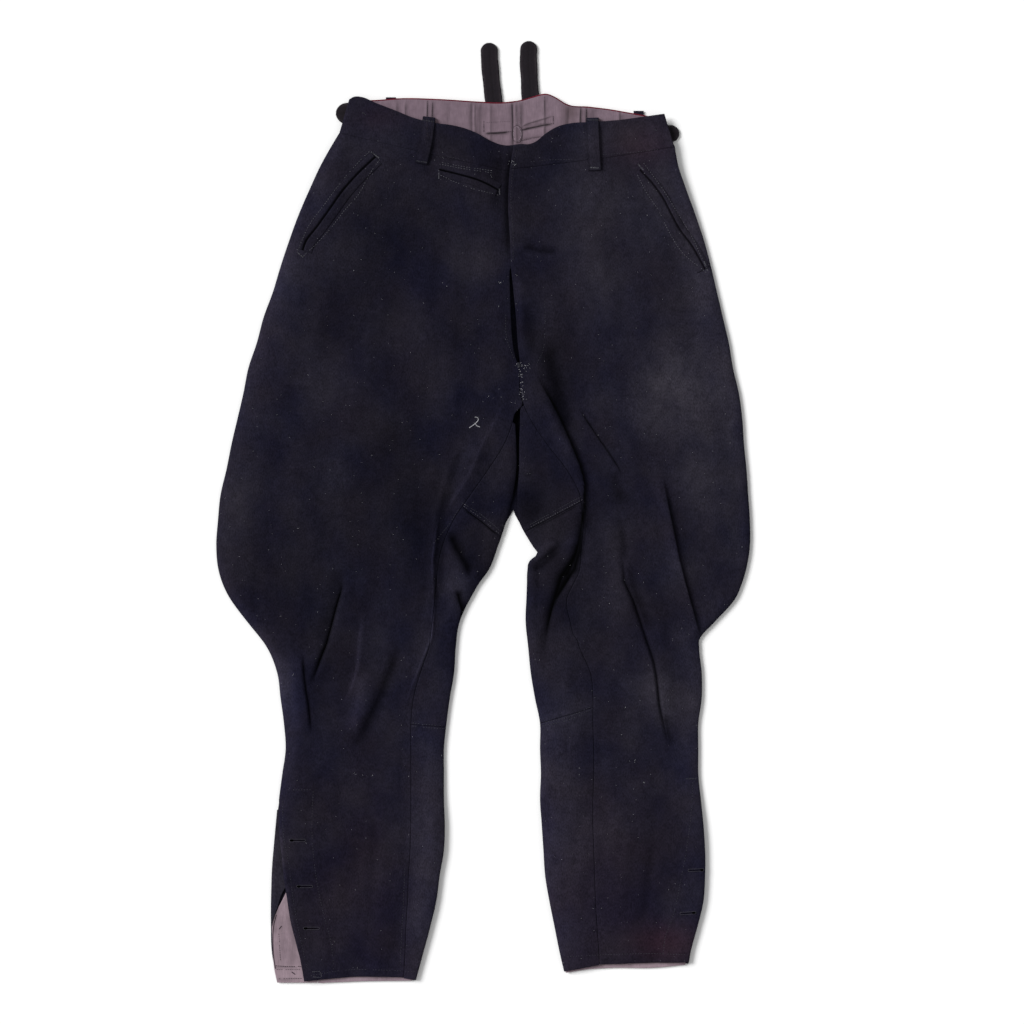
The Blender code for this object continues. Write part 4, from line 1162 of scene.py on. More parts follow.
@dataclass
class Waist:
    """Front and back waistbands, and the lining that shows in the open mouth."""

    legs: dict[Side, LegForm]
    wool: bpy.types.Material
    twill: bpy.types.Material
    piped: bpy.types.Material
    band: float = 36.0
    band_lift: float = 0.6
    back_level: float = 3.72
    piping_rise: float = 0.9
    piping_tint: float = 0.85
    lining_level: float = 5.55
    lining_waves: Ripples = Ripples(7, 0.16, 9.0, 60.0)
    front_top: dict[Side, tuple] = field(default_factory=lambda: {
        Side.RIGHT: ((-158, 487), (-153, 490), (-143, 490), (-127, 483), (-104, 474), (-84, 466),
                     (-55, 459), (-39, 457), (-22, 453), (-7, 447), (9, 438), (24, 433),
                     (41, 433.5)),
        Side.LEFT: ((36, 433), (44, 434), (54, 434), (62, 437), (73, 446), (88, 455), (104, 459),
                    (123, 460), (138, 461), (162, 463), (185, 466), (214, 470))})
    back_top: dict[Side, tuple] = field(default_factory=lambda: {
        Side.RIGHT: ((-156, 486), (-126, 487), (-98, 489), (-51, 488), (-4, 485), (20, 484),
                     (39.9, 486)),
        Side.LEFT: ((40, 486), (49, 488), (59, 491), (77, 494), (86, 490), (97, 483), (126, 479),
                    (150, 476), (173, 472), (195, 468), (213, 464))})
    waist_seam: dict[Side, tuple] = field(default_factory=lambda: {
        Side.RIGHT: ((-169.7, 447), (-104, 431.8), (-38, 416.8), (39, 400)),
        Side.LEFT: ((31.5, 404), (90, 411), (160, 419.9), (226, 430.6))})
    folds: Relief = LINING_RELIEF

    def build(self) -> dict[str, bpy.types.Object]:
        """Builds the bands and the lining."""
        made = {"waist_lining": self.lining()}
        for side in Side:
            made[f"waistband_front_{side.value}"] = self.front(side)
            made[f"waistband_back_{side.value}"] = self.back(side)
        return made

    def front(self, side: Side) -> bpy.types.Object:
        """Builds one front waistband."""
        leg = self.legs[side]
        plan = ruled(point_edge(self.waist_seam[side]), point_edge(self.front_top[side]), 2.2)
        x, y = plan[..., 0], plan[..., 1]
        centre, shade = leg.lay(x, y)
        if side is Side.LEFT:
            from_fly = np.abs(x - self.waist_seam[side][0][0])
            centre[..., 2] += FLY_LIFT * (1.0 - ramp(from_fly, *FLY_REACH))
        centre[..., 2] += self.band_lift
        return Cloth(f"cloth_waistband_front_{side.value}", Slot.WOOL, self.wool,
                     (f"waistband_front_{side.value}",), ("cloth_waist_lining",), 2.0, 1.5
                     ).make(centre, WEAR.marks(x, y, shade))

    def back(self, side: Side) -> bpy.types.Object:
        """Builds one back waistband, whose top edge shows behind the lining."""
        plan = ruled(point_edge(self.back_top[side], (0.0, -self.band)),
                     point_edge(self.back_top[side]), 3.0)
        x, y = plan[..., 0], plan[..., 1]
        marks = WEAR.marks(x, y)
        top = np.interp(x, *np.array(self.back_top[side]).T)
        marks["rust"] = self.piping_tint * bell(np.abs(y - top), 2.6)
        centre = np.dstack([plan, self.back_level + self.piping_rise * bell(np.abs(y - top), 1.6)])
        return Cloth(f"cloth_waistband_back_{side.value}", Slot.WOOL, self.piped,
                     (f"waistband_back_{side.value}",), (f"cloth_back_{side.value}",), 1.6
                     ).make(centre, marks)

    def lining(self) -> bpy.types.Object:
        """Builds the lining, with its pressed creases and rows of pulled stitches."""
        seam = self.back_top[Side.RIGHT][:-1] + self.back_top[Side.LEFT][1:]
        top = [(x, y - 1.6) for x, y in seam]
        foot = ((-166, 437), (36, 402), (223, 425))
        plan = self.folds.gather(ruled(point_edge(foot), point_edge(top), 1.5, 0.9), 4.5)
        x, y = plan[..., 0], plan[..., 1]
        height, shade, _ = self.folds.read(x, y)
        height = np.clip(height + self.lining_waves.read(x, y), -0.7, 1.2)
        held = ramp(from_rim(plan), 0.5, 5.0)
        centre = np.dstack([plan, self.lining_level + height * held])
        # Painted shade along the creases, and darker brownish patches in the middle and at both
        # ends
        marks = {"shade": np.clip(shade, 0.0, 0.9),
                 "rust": Wear.total((Spot(104, 473, 9, 14, 0.9), Spot(-157, 481.5, 16, 12, 0.5),
                                     Spot(203, 460, 16, 12, 0.5)), x, y)}
        return Cloth("cloth_waist_lining", Slot.TWILL, self.twill, ("waist_lining",),
                     ("cloth_waistband_back_right", "cloth_waistband_back_left"), 0.9, 0.7
                     ).make(centre, marks)


def crosswise(middle: np.ndarray, at: np.ndarray) -> np.ndarray:
    """Directions to the right of a line's run at each of its points."""
    run = np.gradient(middle, at, axis=0)
    run /= np.hypot(run[:, 0], run[:, 1])[:, None]
    return np.column_stack([run[:, 1], -run[:, 0]])


def strip_plan(path: Sequence[Point], offsets: np.ndarray, step: float) -> np.ndarray:
    """Lays out a strip along a path.

    Args:
        path: the strip's line.
        offsets: places across it, to the right of its run where positive.
        step: distance between rows.

    Returns:
        Plan points by row and column.
    """
    corners = np.asarray(path, float)
    length = np.hypot(*np.diff(corners, axis=0).T).sum()
    t = np.linspace(0.0, 1.0, max(4, round(length / step)))
    rim = np.array([0.0, 0.15, 0.5, 1.0]) / length
    t = np.concatenate([rim, t[1:-1], 1.0 - rim[::-1]])
    middle = point_edge(path)(t)
    return middle[:, None, :] + crosswise(middle, t)[:, None, :] * offsets[None, :, None]


@dataclass
class Pockets:
    """Jetted mouths: a narrow slit between two turned and stitched bands."""

    surface: Surface
    wool: bpy.types.Material
    outer: float = 6.0
    inner: float = 10.0
    watch: float = 7.0
    slit: float = 2.2
    lift: float = 0.35
    raised: float = 0.5
    lines: dict[str, tuple] = field(default_factory=lambda: {
        "slant_pocket_right": ((-127, 419), (-146, 401), (-164, 381), (-182, 356), (-196, 337),
                               (-209, 320), (-213, 309)),
        "slant_pocket_left": ((185, 404), (202, 385), (212, 371), (221, 354), (232, 334),
                              (247, 314), (255, 300), (262, 287)),
        "watch_pocket": ((-52, 404), (-27, 398), (-4, 391), (9, 385), (18, 380))})

    def build(self) -> dict[str, bpy.types.Object]:
        """Builds the three mouths."""
        widths = {"slant_pocket_right": (self.inner, self.outer),
                  "slant_pocket_left": (self.outer, self.inner),
                  "watch_pocket": (self.watch, self.watch)}
        return {name: self.mouth(name, line, *widths[name]) for name, line in self.lines.items()}

    def mouth(self, name: str, line: Sequence[Point], first: float, second: float
              ) -> bpy.types.Object:
        """Builds one mouth.

        Args:
            name: the solid it stands for.
            line: the slit.
            first: width of the band to the left of the line's run.
            second: width of the band to the right.

        Returns:
            The mouth.
        """
        half = self.slit / 2.0
        offsets = np.concatenate([
            np.array([-half - first, -half - first + 0.2, -half - first + 0.7]),
            np.linspace(-half - first + 1.4, -half - 0.8, 6),
            np.array([-half - 0.3, -half, -half + 0.35, 0.0, half - 0.35, half, half + 0.3]),
            np.linspace(half + 0.8, half + second - 1.4, 6),
            np.array([half + second - 0.7, half + second - 0.2, half + second])])
        plan = strip_plan(line, offsets, 2.5)
        x, y = plan[..., 0], plan[..., 1]
        under = self.surface.tops(x, y)
        under = (under + np.roll(under, 1, 0) + np.roll(under, -1, 0)) / 3.0
        under[0], under[-1] = under[1], under[-2]
        wide = np.where(offsets < 0, first, second)
        inward = np.clip((wide + half - np.abs(offsets)) / 2.2, 0.0, 1.0)
        slit = bell(np.abs(offsets), half)
        sunk = np.clip(np.abs(offsets) - half, 0.0, 1.0)
        centre = np.dstack([plan, under + self.lift + self.lift * inward * sunk])
        emboss = np.broadcast_to(
            self.raised * inward * sunk * bell(np.abs(offsets) - half, 4.0), x.shape)
        # The slit is painted dark: painted shade in the narrow opening, a little less on the left
        # pocket
        depth = 0.8 if name == "slant_pocket_left" else 0.95
        shade = np.broadcast_to(np.where(np.abs(offsets) < half * 1.15, depth, 0.0) * slit ** 0.3,
                                x.shape)
        return Cloth(f"cloth_{name}", Slot.WOOL, self.wool, (name,),
                     ("cloth_front_right", "cloth_front_left"), 0.6, 0.9
                     ).make(centre, WEAR.marks(x, y, shade), emboss)


@dataclass
class LoopsAndTabs:
    """Belt loops, waist adjuster tabs and brace tabs."""

    surface: Surface
    wool: bpy.types.Material
    tape: bpy.types.Material
    loop_width: float = 15.0
    loop_rise: float = 1.2
    back_level: float = 1.5
    tab_level: float = 1.28
    fronts: dict[str, tuple] = field(default_factory=lambda: {
        "belt_loop_front_right": ((-63.5, 466), (-67, 438), (-73, 411)),
        "belt_loop_front_left": ((129, 465), (130, 434), (132, 403))})
    backs: dict[str, tuple] = field(default_factory=lambda: {
        "belt_loop_back_right": ((-109, 490.5), (-109, 470), (-109, 448)),
        "belt_loop_back_left": ((184, 474.5), (184, 455), (184, 434))})
    tabs: dict[str, tuple] = field(default_factory=lambda: {
        "brace_tab_right": (((15, 456), (12.5, 486), (9.4, 514), (7.6, 536), (7.2, 555)), 20.5),
        "brace_tab_left": (((58, 460), (56, 486), (54.6, 514), (53.6, 536), (54.6, 557)), 20.5),
        "adjuster_tab_right": (((-118, 470), (-150, 471), (-174, 472)), 25.0),
        "adjuster_tab_left": (((194, 449), (215, 448), (232, 447)), 20.0)})

    def build(self) -> dict[str, bpy.types.Object]:
        """Builds the loops and the tabs."""
        made = {name: self.front_loop(name, line) for name, line in self.fronts.items()}
        made |= {name: self.back_loop(name, line) for name, line in self.backs.items()}
        return made | {name: self.tab(name, *sizes) for name, sizes in self.tabs.items()}

    def offsets(self, width: float) -> np.ndarray:
        """Places across a strip, closer at its folded edges."""
        half = width / 2.0
        side = np.array([0.0, 0.15, 0.5, 1.1])
        inside = np.linspace(-half + 1.8, half - 1.8, 9)
        return np.concatenate([-half + side, inside, half - side[::-1]])

    def front_loop(self, name: str, line: Sequence[Point]) -> bpy.types.Object:
        """Builds a loop that stands over the front waistband."""
        offsets = self.offsets(self.loop_width)
        plan = strip_plan(line, offsets, 2.0)
        x, y = plan[..., 0], plan[..., 1]
        under = np.median(self.surface.tops(x, y)[:, 3:-3], axis=1)
        rows = len(under)
        padded = np.pad(under, 4, mode="edge")
        under = np.array([padded[k:k + 9].max() * 0.5 + padded[k:k + 9].mean() * 0.5
                          for k in range(rows)])
        t = np.linspace(0.0, 1.0, rows)
        rise = self.loop_rise * np.sin(np.pi * t) ** 0.7
        tips = 0.5 * (bell(t, 0.05) + bell(1.0 - t, 0.05))
        across = 1.0 - 0.35 * np.abs(offsets / offsets.max()) ** 2
        centre = np.dstack([plan, (under + 1.0 - tips)[:, None] + rise[:, None] * across])
        # Painted shade along the loop's folded edges
        shade = np.broadcast_to(0.45 * bell(np.abs(offsets) - offsets.max(), 1.2), x.shape)
        emboss = np.broadcast_to(-0.3 * bell(np.abs(offsets) - offsets.max() + 2.4, 0.8), x.shape)
        return Cloth(f"cloth_{name}", Slot.WOOL, self.wool, (name,),
                     ("cloth_front_right", "cloth_front_left"), 1.5, 1.0
                     ).make(centre, WEAR.marks(x, y, shade), emboss)

    def back_loop(self, name: str, line: Sequence[Point]) -> bpy.types.Object:
        """Builds a loop behind the back waistband, whose tip shows above it."""
        plan = strip_plan(line, self.offsets(self.loop_width * 0.8), 2.5)
        x, y = plan[..., 0], plan[..., 1]
        centre = np.dstack([plan, np.full(x.shape, self.back_level)])
        return Cloth(f"cloth_{name}", Slot.WOOL, self.wool, (name,),
                     ("floor",), 1.5, 1.0).make(centre, WEAR.marks(x, y))

    def tab(self, name: str, line: Sequence[Point], width: float) -> bpy.types.Object:
        """Builds a doubled tape tab with a round free end and a seam along its middle.

        Args:
            name: the solid it stands for.
            line: its middle, from the sewn end to the free end.
            width: its width.

        Returns:
            The tab.
        """
        corners = np.asarray(line, float)
        length = np.hypot(*np.diff(corners, axis=0).T).sum()
        turn = np.radians(np.linspace(0.0, 86.0, 12))
        along = np.concatenate([np.array([0.0, 0.2, 0.6, 1.2]),
                                np.linspace(2.5, length - width / 2, 40),
                                length - width / 2 * (1.0 - np.sin(turn[1:]))])
        half = np.concatenate([np.full(44, width / 2), width / 2 * np.cos(turn[1:])])
        share = self.offsets(width) / (width / 2.0)
        middle = point_edge(line)(along / length)
        across = crosswise(middle, along)
        rough = 1.0 + 0.018 * np.sin(along * 0.21) + 0.008 * np.sin(along * 0.9 + 1.0)
        plan = (middle[:, None, :]
                + (half * rough)[:, None, None] * share[None, :, None] * across[:, None, :])
        away = half[:, None] * np.abs(share)[None, :]
        ridge = bell(away - half[:, None] + 1.8, 1.2)
        emboss = 0.3 * ridge - 0.25 * bell(away, 1.2)
        waves = 0.35 * np.abs(np.sin(along * 0.16))[:, None] * (1.0 - share**2)[None, :]
        centre = np.dstack([plan, self.tab_level + waves])
        # The raised edges are painted paler, partly wear and partly painted highlight; the middle
        # seam's groove gets painted shade
        marks = {"fade": 0.7 * ridge, "shade": 0.22 * bell(away, 1.2)}
        return Cloth(f"cloth_{name}", Slot.TAPE, self.tape, (name,),
                     ("floor",), 2.2, 1.3).make(centre, marks, emboss)


@dataclass
class Ankles:
    """The right leg's open vent, and the facings that show below the front hems."""

    wool: bpy.types.Material
    twill: bpy.types.Material
    level: float = 2.45
    waves: Ripples = Ripples(11, 0.12, 8.0, 40.0)

    def build(self) -> dict[str, bpy.types.Object]:
        """Builds the vent's lining and stand, and both hem facings."""
        return {
            "vent_lining_right": self.flat(
                "vent_lining_right", Slot.TWILL, self.twill,
                ((-231, -446), (-238, -460), (-245, -474), (-249.4, -487), (-249.3, -500),
                 (-248.5, -523), (-247, -540), (-243.5, -556.5)),
                ((-196, -446), (-196, -556.5)), 0.0,
                # Painted shade along the vent lining's creases and stitched lines, and one darker
                # stain near its top
                Relief((Crease(((-243, -470), (-238, -510), (-242, -550)), 0.5, 4, 5, 0, 5, 0.2),
                        Crease(((-246, -452), (-246, -492), (-243, -505)), 0, 5, 5, 0, 5, 0.34,
                               4, 5),
                        Crease(((-228, -468), (-224, -510), (-228, -550)), -0.4, 4, 4, 0, 5,
                               0.25),
                        Crease(((-252, -538), (-236, -539), (-215, -538)), -0.4, 1.5, 1.5, 0, 5,
                               0.3, 1.5, 1.5),
                        Crease(((-252, -552), (-236, -553), (-215, -552)), -0.4, 1.5, 1.5, 0, 5,
                               0.3, 1.5, 1.5)))),
            "button_stand_right": self.flat(
                "button_stand_right", Slot.WOOL, self.wool,
                ((-243.5, -352), (-247, -390), (-249.5, -420), (-250.5, -450), (-250.5, -478),
                 (-250.3, -490)),
                ((-212, -352), (-210, -390), (-214, -420), (-236, -448), (-244, -470),
                 (-249.2, -484)), 1.0,
                Relief((Crease(((-244, -380), (-246, -430), (-248, -460)), 0.6, 5, 6),)), 0.5),
            "hem_facing_right": self.flat(
                "hem_facing_right", Slot.TWILL, self.twill, ((-195, -530), (-87, -530)),
                ((-195, -557), (-140, -554.8), (-84, -554.2)), 0.0, Relief(())),
            "hem_facing_left": self.flat(
                "hem_facing_left", Slot.TWILL, self.twill, ((96, -522), (242, -516)),
                ((98, -545), (122, -541), (152, -539), (200, -539), (239, -535.4)), 0.0,
                Relief(())),
        }

    def flat(self, name: str, slot: Slot, finish: bpy.types.Material, first: Sequence[Point],
             second: Sequence[Point], raised: float, relief: Relief, fade: float = 0.0
             ) -> bpy.types.Object:
        """Builds one piece that lies flat on the back panel.

        Args:
            name: the solid it stands for.
            slot: its material slot.
            finish: its material.
            first: points of one edge.
            second: points of the other edge.
            raised: how far it is lifted off its usual level.
            relief: its creases.
            fade: how faded it is.

        Returns:
            The piece.
        """
        plan = ruled(point_edge(first), point_edge(second), 2.2, 0.8)
        x, y = plan[..., 0], plan[..., 1]
        height, shade, _ = relief.read(x, y)
        height = height + self.waves.read(x, y)
        held = ramp(from_rim(plan), 0.5, 5.0)
        centre = np.dstack([plan, self.level + raised + np.clip(height, -0.1, 0.8) * held])
        under = "cloth_back_" + ("left" if name.endswith("left") else "right")
        return Cloth(f"cloth_{name}", slot, finish, (name,), (under,), 0.9, 0.7).make(
            centre, {"shade": shade, "fade": np.full(x.shape, fade)})


@dataclass(frozen=True)
class Run:
    """A run of stitches along a path."""

    path: tuple[Point, ...]
    pitch: float = 3.2
    length: float = 2.1
    thick: float = 0.55
    across: bool = False
    stray: float = 0.06
    worn: float = 0.08


def tack(path: tuple[Point, ...], pitch: float = 0.8, length: float = 2.0, thick: float = 0.5,
         stray: float = 0.06) -> Run:
    """A bar tack: close stitches across a short path."""
    return Run(path, pitch, length, thick, True, stray)


@dataclass
class Stitching:
    """Machine stitches and bar tacks, each thread colour of a seam group in one piece."""

    surface: Surface
    seed: int = 5

    def template(self) -> bpy.types.Object:
        """Models one stitch, a short rounded length of thread that lies along X."""
        bpy.ops.object.select_all(action="DESELECT")
        bpy.ops.mesh.primitive_ico_sphere_add(subdivisions=1, radius=0.5)
        stitch = bpy.context.object
        bpy.ops.object.mode_set(mode="EDIT")
        bpy.ops.mesh.select_all(action="SELECT")
        bpy.ops.transform.resize(value=(1.0, 0.9, 0.7))
        bpy.ops.object.mode_set(mode="OBJECT")
        bpy.ops.object.shade_smooth()
        return stitch

    def sew(self, name: str, thread: bpy.types.Material, runs: Sequence[Run]
            ) -> bpy.types.Object:
        """Sews a group of runs and joins it to one piece.

        Args:
            name: the piece's name.
            thread: its material.
            runs: where the stitches go.

        Returns:
            The piece.
        """
        dice = np.random.default_rng(self.seed)
        stitch = self.template()
        stitch.data.materials.append(thread)
        copies = []
        for run in runs:
            corners = np.asarray(run.path, float)
            walk = np.insert(np.cumsum(np.hypot(*np.diff(corners, axis=0).T)), 0, 0.0)
            fine = np.linspace(0.0, walk[-1], 60)
            corners = np.column_stack([curve(walk, column, fine) for column in corners.T])
            lengths = np.hypot(*np.diff(corners, axis=0).T)
            walk = np.insert(np.cumsum(lengths), 0, 0.0)
            for place in np.arange(run.pitch / 2.0, walk[-1], run.pitch):
                k = min(np.searchsorted(walk, place) - 1, len(lengths) - 1)
                middle = corners[k] + (corners[k + 1] - corners[k]) * (
                    (place - walk[k]) / lengths[k])
                way = (corners[k + 1] - corners[k]) / lengths[k]
                if run.across:
                    way = np.array([-way[1], way[0]])
                angle = dice.normal(0.0, run.stray)
                way = np.array([way[0] * np.cos(angle) - way[1] * np.sin(angle),
                                way[0] * np.sin(angle) + way[1] * np.cos(angle)])
                matrix = self.seat(middle, way, run)
                if matrix is None or dice.random() < run.worn:
                    continue
                copies.append(stamp(name, stitch, matrix))
        bpy.data.objects.remove(stitch, do_unlink=True)
        return join(name, copies)

    def seat(self, middle: np.ndarray, way: np.ndarray, run: Run) -> Matrix | None:
        """Finds a stitch's place on the cloth.

        Args:
            middle: its middle.
            way: its direction.
            run: the run it belongs to.

        Returns:
            Its matrix, or None beside the cloth.
        """
        ends = [middle - way * run.length / 2.0, middle + way * run.length / 2.0]
        levels = [self.surface.top(*end) for end in ends]
        if min(levels) < 0.0:
            return None
        east = Vector((*(ends[1] - ends[0]),
                      np.clip(levels[1] - levels[0], -1.0, 1.0))).normalized()
        north = Vector((0.0, 0.0, 1.0)).cross(east).normalized()
        up = east.cross(north)
        turn = Matrix((east, north, up)).transposed().to_4x4()
        size = Matrix.Diagonal((run.length * MM, run.thick * MM, run.thick * MM, 1.0))
        place = Matrix.Translation(Vector((*middle, sum(levels) / 2.0 + 0.1)) * MM)
        return place @ turn @ size


def stamp(name: str, source: bpy.types.Object, matrix: Matrix) -> bpy.types.Object:
    """Sets down one copy of a model.

    Args:
        name: the copy's name.
        source: the model.
        matrix: where the copy goes.

    Returns:
        The copy, with its place in its mesh.
    """
    mesh = source.data.copy()
    mesh.transform(matrix)
    copy = bpy.data.objects.new(name, mesh)
    bpy.context.scene.collection.objects.link(copy)
    return copy


def merge(parts: Sequence[bpy.types.Object]) -> bpy.types.Object:
    """Joins objects to the first of them."""
    bpy.ops.object.select_all(action="DESELECT")
    for part in parts:
        part.select_set(True)
    bpy.context.view_layer.objects.active = parts[0]
    bpy.ops.object.join()
    return bpy.context.object


def join(name: str, copies: Sequence[bpy.types.Object]) -> bpy.types.Object:
    """Joins copies to one piece on the part's body.

    Args:
        name: the piece's name.
        copies: the objects to join.

    Returns:
        The piece.
    """
    made = merge(copies)
    made.name = made.data.name = name
    dress(made)
    return made


@dataclass
class Buttonholes:
    """Worked keyhole buttonholes along both ankle plackets."""

    surface: Surface
    thread: bpy.types.Material
    shadow: bpy.types.Material
    long: float = 19.0
    wide: float = 2.9
    eye: float = 4.4
    holes: tuple = (
        ((-229, -387.5), (-209, -387.5)), ((-220.5, -442), (-200.5, -442)),
        ((-212.5, -491.5), (-192.5, -491.5)),
        ((261, -422.5), (242, -423)), ((251.5, -473), (232.5, -474)))

    def rim(self) -> bpy.types.Object:
        """Models the worked rim: a ring of thread drawn out to the hole's length."""
        bpy.ops.object.select_all(action="DESELECT")
        bpy.ops.mesh.primitive_torus_add(major_segments=32, minor_segments=8,
                                         major_radius=self.wide / 2.0 * MM,
                                         minor_radius=0.3 * MM)
        ring = bpy.context.object
        bpy.ops.object.mode_set(mode="EDIT")
        bpy.ops.mesh.select_all(action="DESELECT")
        bpy.ops.object.mode_set(mode="OBJECT")
        reach = (self.long - self.wide) / 2.0 * MM
        for side in (1.0, -1.0):
            for vertex in ring.data.vertices:
                vertex.select = vertex.co.x * side > 0.0001
            bpy.ops.object.mode_set(mode="EDIT")
            bpy.ops.transform.translate(value=(reach * side, 0.0, 0.0))
            bpy.ops.mesh.select_all(action="DESELECT")
            bpy.ops.object.mode_set(mode="OBJECT")
        bpy.ops.object.shade_smooth()
        ring.data.materials.append(self.thread)
        return ring

    def hollow(self, long: float, wide: float, place: float) -> bpy.types.Object:
        """Models a black shape in the hole that paints the shade inside it: a painted shadow.

        Args:
            long: its length.
            wide: its width.
            place: its place along the hole.

        Returns:
            The hollow.
        """
        bpy.ops.object.select_all(action="DESELECT")
        bpy.ops.mesh.primitive_uv_sphere_add(segments=20, ring_count=8, radius=0.5)
        cut = bpy.context.object
        bpy.ops.object.mode_set(mode="EDIT")
        bpy.ops.mesh.select_all(action="SELECT")
        bpy.ops.transform.resize(value=(long * MM, wide * MM, 0.8 * MM))
        bpy.ops.transform.translate(value=(place * MM, 0.0, 0.1 * MM))
        bpy.ops.object.mode_set(mode="OBJECT")
        bpy.ops.object.shade_smooth()
        cut.data.materials.append(self.shadow)
        return cut

    def template(self) -> bpy.types.Object:
        """Models one hole along X: a worked rim, and black shapes painting the shade in its cut and
        its round eye.
        """
        return merge([
            self.rim(), self.hollow(self.long - 1.6, 0.75, 0.0),
            self.hollow(self.eye, self.eye * 0.7, -self.long / 2.0 + self.eye * 0.6)])

    def build(self) -> bpy.types.Object:
        """Places a copy at each hole and joins them."""
        hole = self.template()
        copies = []
        for outer, inner in self.holes:
            start, end = np.array(outer), np.array(inner)
            way = (end - start) / np.hypot(*(end - start))
            levels = [self.surface.top(*(start + way * step)) for step in (3.0, 10.0, 17.0)]
            east = Vector((*way, (levels[2] - levels[0]) / 14.0)).normalized()
            north = Vector((0.0, 0.0, 1.0)).cross(east).normalized()
            turn = Matrix((east, north, east.cross(north))).transposed().to_4x4()
            middle = Vector((*((start + end) / 2.0), sum(levels) / 3.0 + 0.05))
            place = Matrix.Translation(middle * MM) @ turn
            copies.append(stamp("buttonholes", hole, place))
        bpy.data.objects.remove(hole, do_unlink=True)
        return join("buttonholes", copies)


@dataclass
class Lint:
    """Pale flecks of fluff, and one loose end of thread."""

    surface: Surface
    fluff: bpy.types.Material
    count: int = 360
    seed: int = 21
    tufts: tuple = (
        (42.5, 174.5, 3.2, 16), (48.5, 171, 2.6, 9), (45, 160.5, 1.8, 6),
        (46, 144, 2.6, 9), (48.5, 135.5, 2.0, 7), (46.5, 152, 1.8, 4),
        (34, 257, 0.7, 3), (38, 210, 0.7, 3), (54.5, 173.5, 3.5, 4),
        (33, 412, 2.6, 8), (20, 271.5, 1.2, 3), (191, -320, 0.8, 2),
        (179.5, -292.5, 1.2, 3), (-235, -449, 1.0, 8))
    ends: tuple = (((-9.5, 112), (-6.5, 111.5), (-5.5, 109.5), (-7.5, 106), (-11, 103),
                    (-16, 99.5)),
                   ((-9.5, 105), (-7.5, 102), (-4, 100.5)))

    def build(self) -> list[bpy.types.Object]:
        """Scatters the flecks and lays the thread."""
        sewing = Stitching(self.surface)
        stitch = sewing.template()
        stitch.data.materials.append(self.fluff)
        dice = np.random.default_rng(self.seed)
        places = []
        while len(places) < self.count:
            place = (dice.uniform(-312, 312), dice.uniform(-545, 460))
            if self.surface.top(*place) >= 3.2:
                places.append((*place, 1.0))
        for x, y, wide, count in self.tufts:
            places += [(dice.normal(x, wide), dice.normal(y, wide), 1.7) for _ in range(count)]
        copies = []
        for x, y, scale in places:
            angle = dice.uniform(0.0, np.pi)
            size = dice.gamma(2.0, 0.32)
            fleck = Run((), length=(0.35 + size * dice.uniform(0.4, 1.4)) * scale,
                        thick=(0.22 + 0.12 * dice.random()) * scale)
            matrix = sewing.seat(np.array([x, y]), np.array([np.cos(angle), np.sin(angle)]),
                                 fleck)
            if matrix is not None:
                copies.append(stamp("lint", stitch, matrix))
        bpy.data.objects.remove(stitch, do_unlink=True)
        thread = sewing.sew("loose_thread", self.fluff,
                            [Run(end, 0.7, 1.5, 1.15, stray=0.0, worn=0.0)
                             for end in self.ends])
        return [join("lint", copies), thread]


RIGHT_SLIT_OUTER = ((-133.5, 426), (-150, 409.5), (-171, 384.5), (-187.5, 362.5),
                    (-205.5, 338.5), (-218.5, 309))
RIGHT_SLIT_INNER = ((-121.5, 416.5), (-133.5, 399), (-147.5, 374), (-163, 356.5),
                    (-180.5, 334), (-196, 317.5), (-213.5, 301))
LEFT_SLIT_OUTER = ((189, 412), (210, 383.5), (227.5, 356.5), (244.5, 329), (259.5, 297.5))
LEFT_SLIT_INNER = ((180.5, 401), (191, 380), (207.5, 355), (220.5, 329), (235, 307), (263, 283))

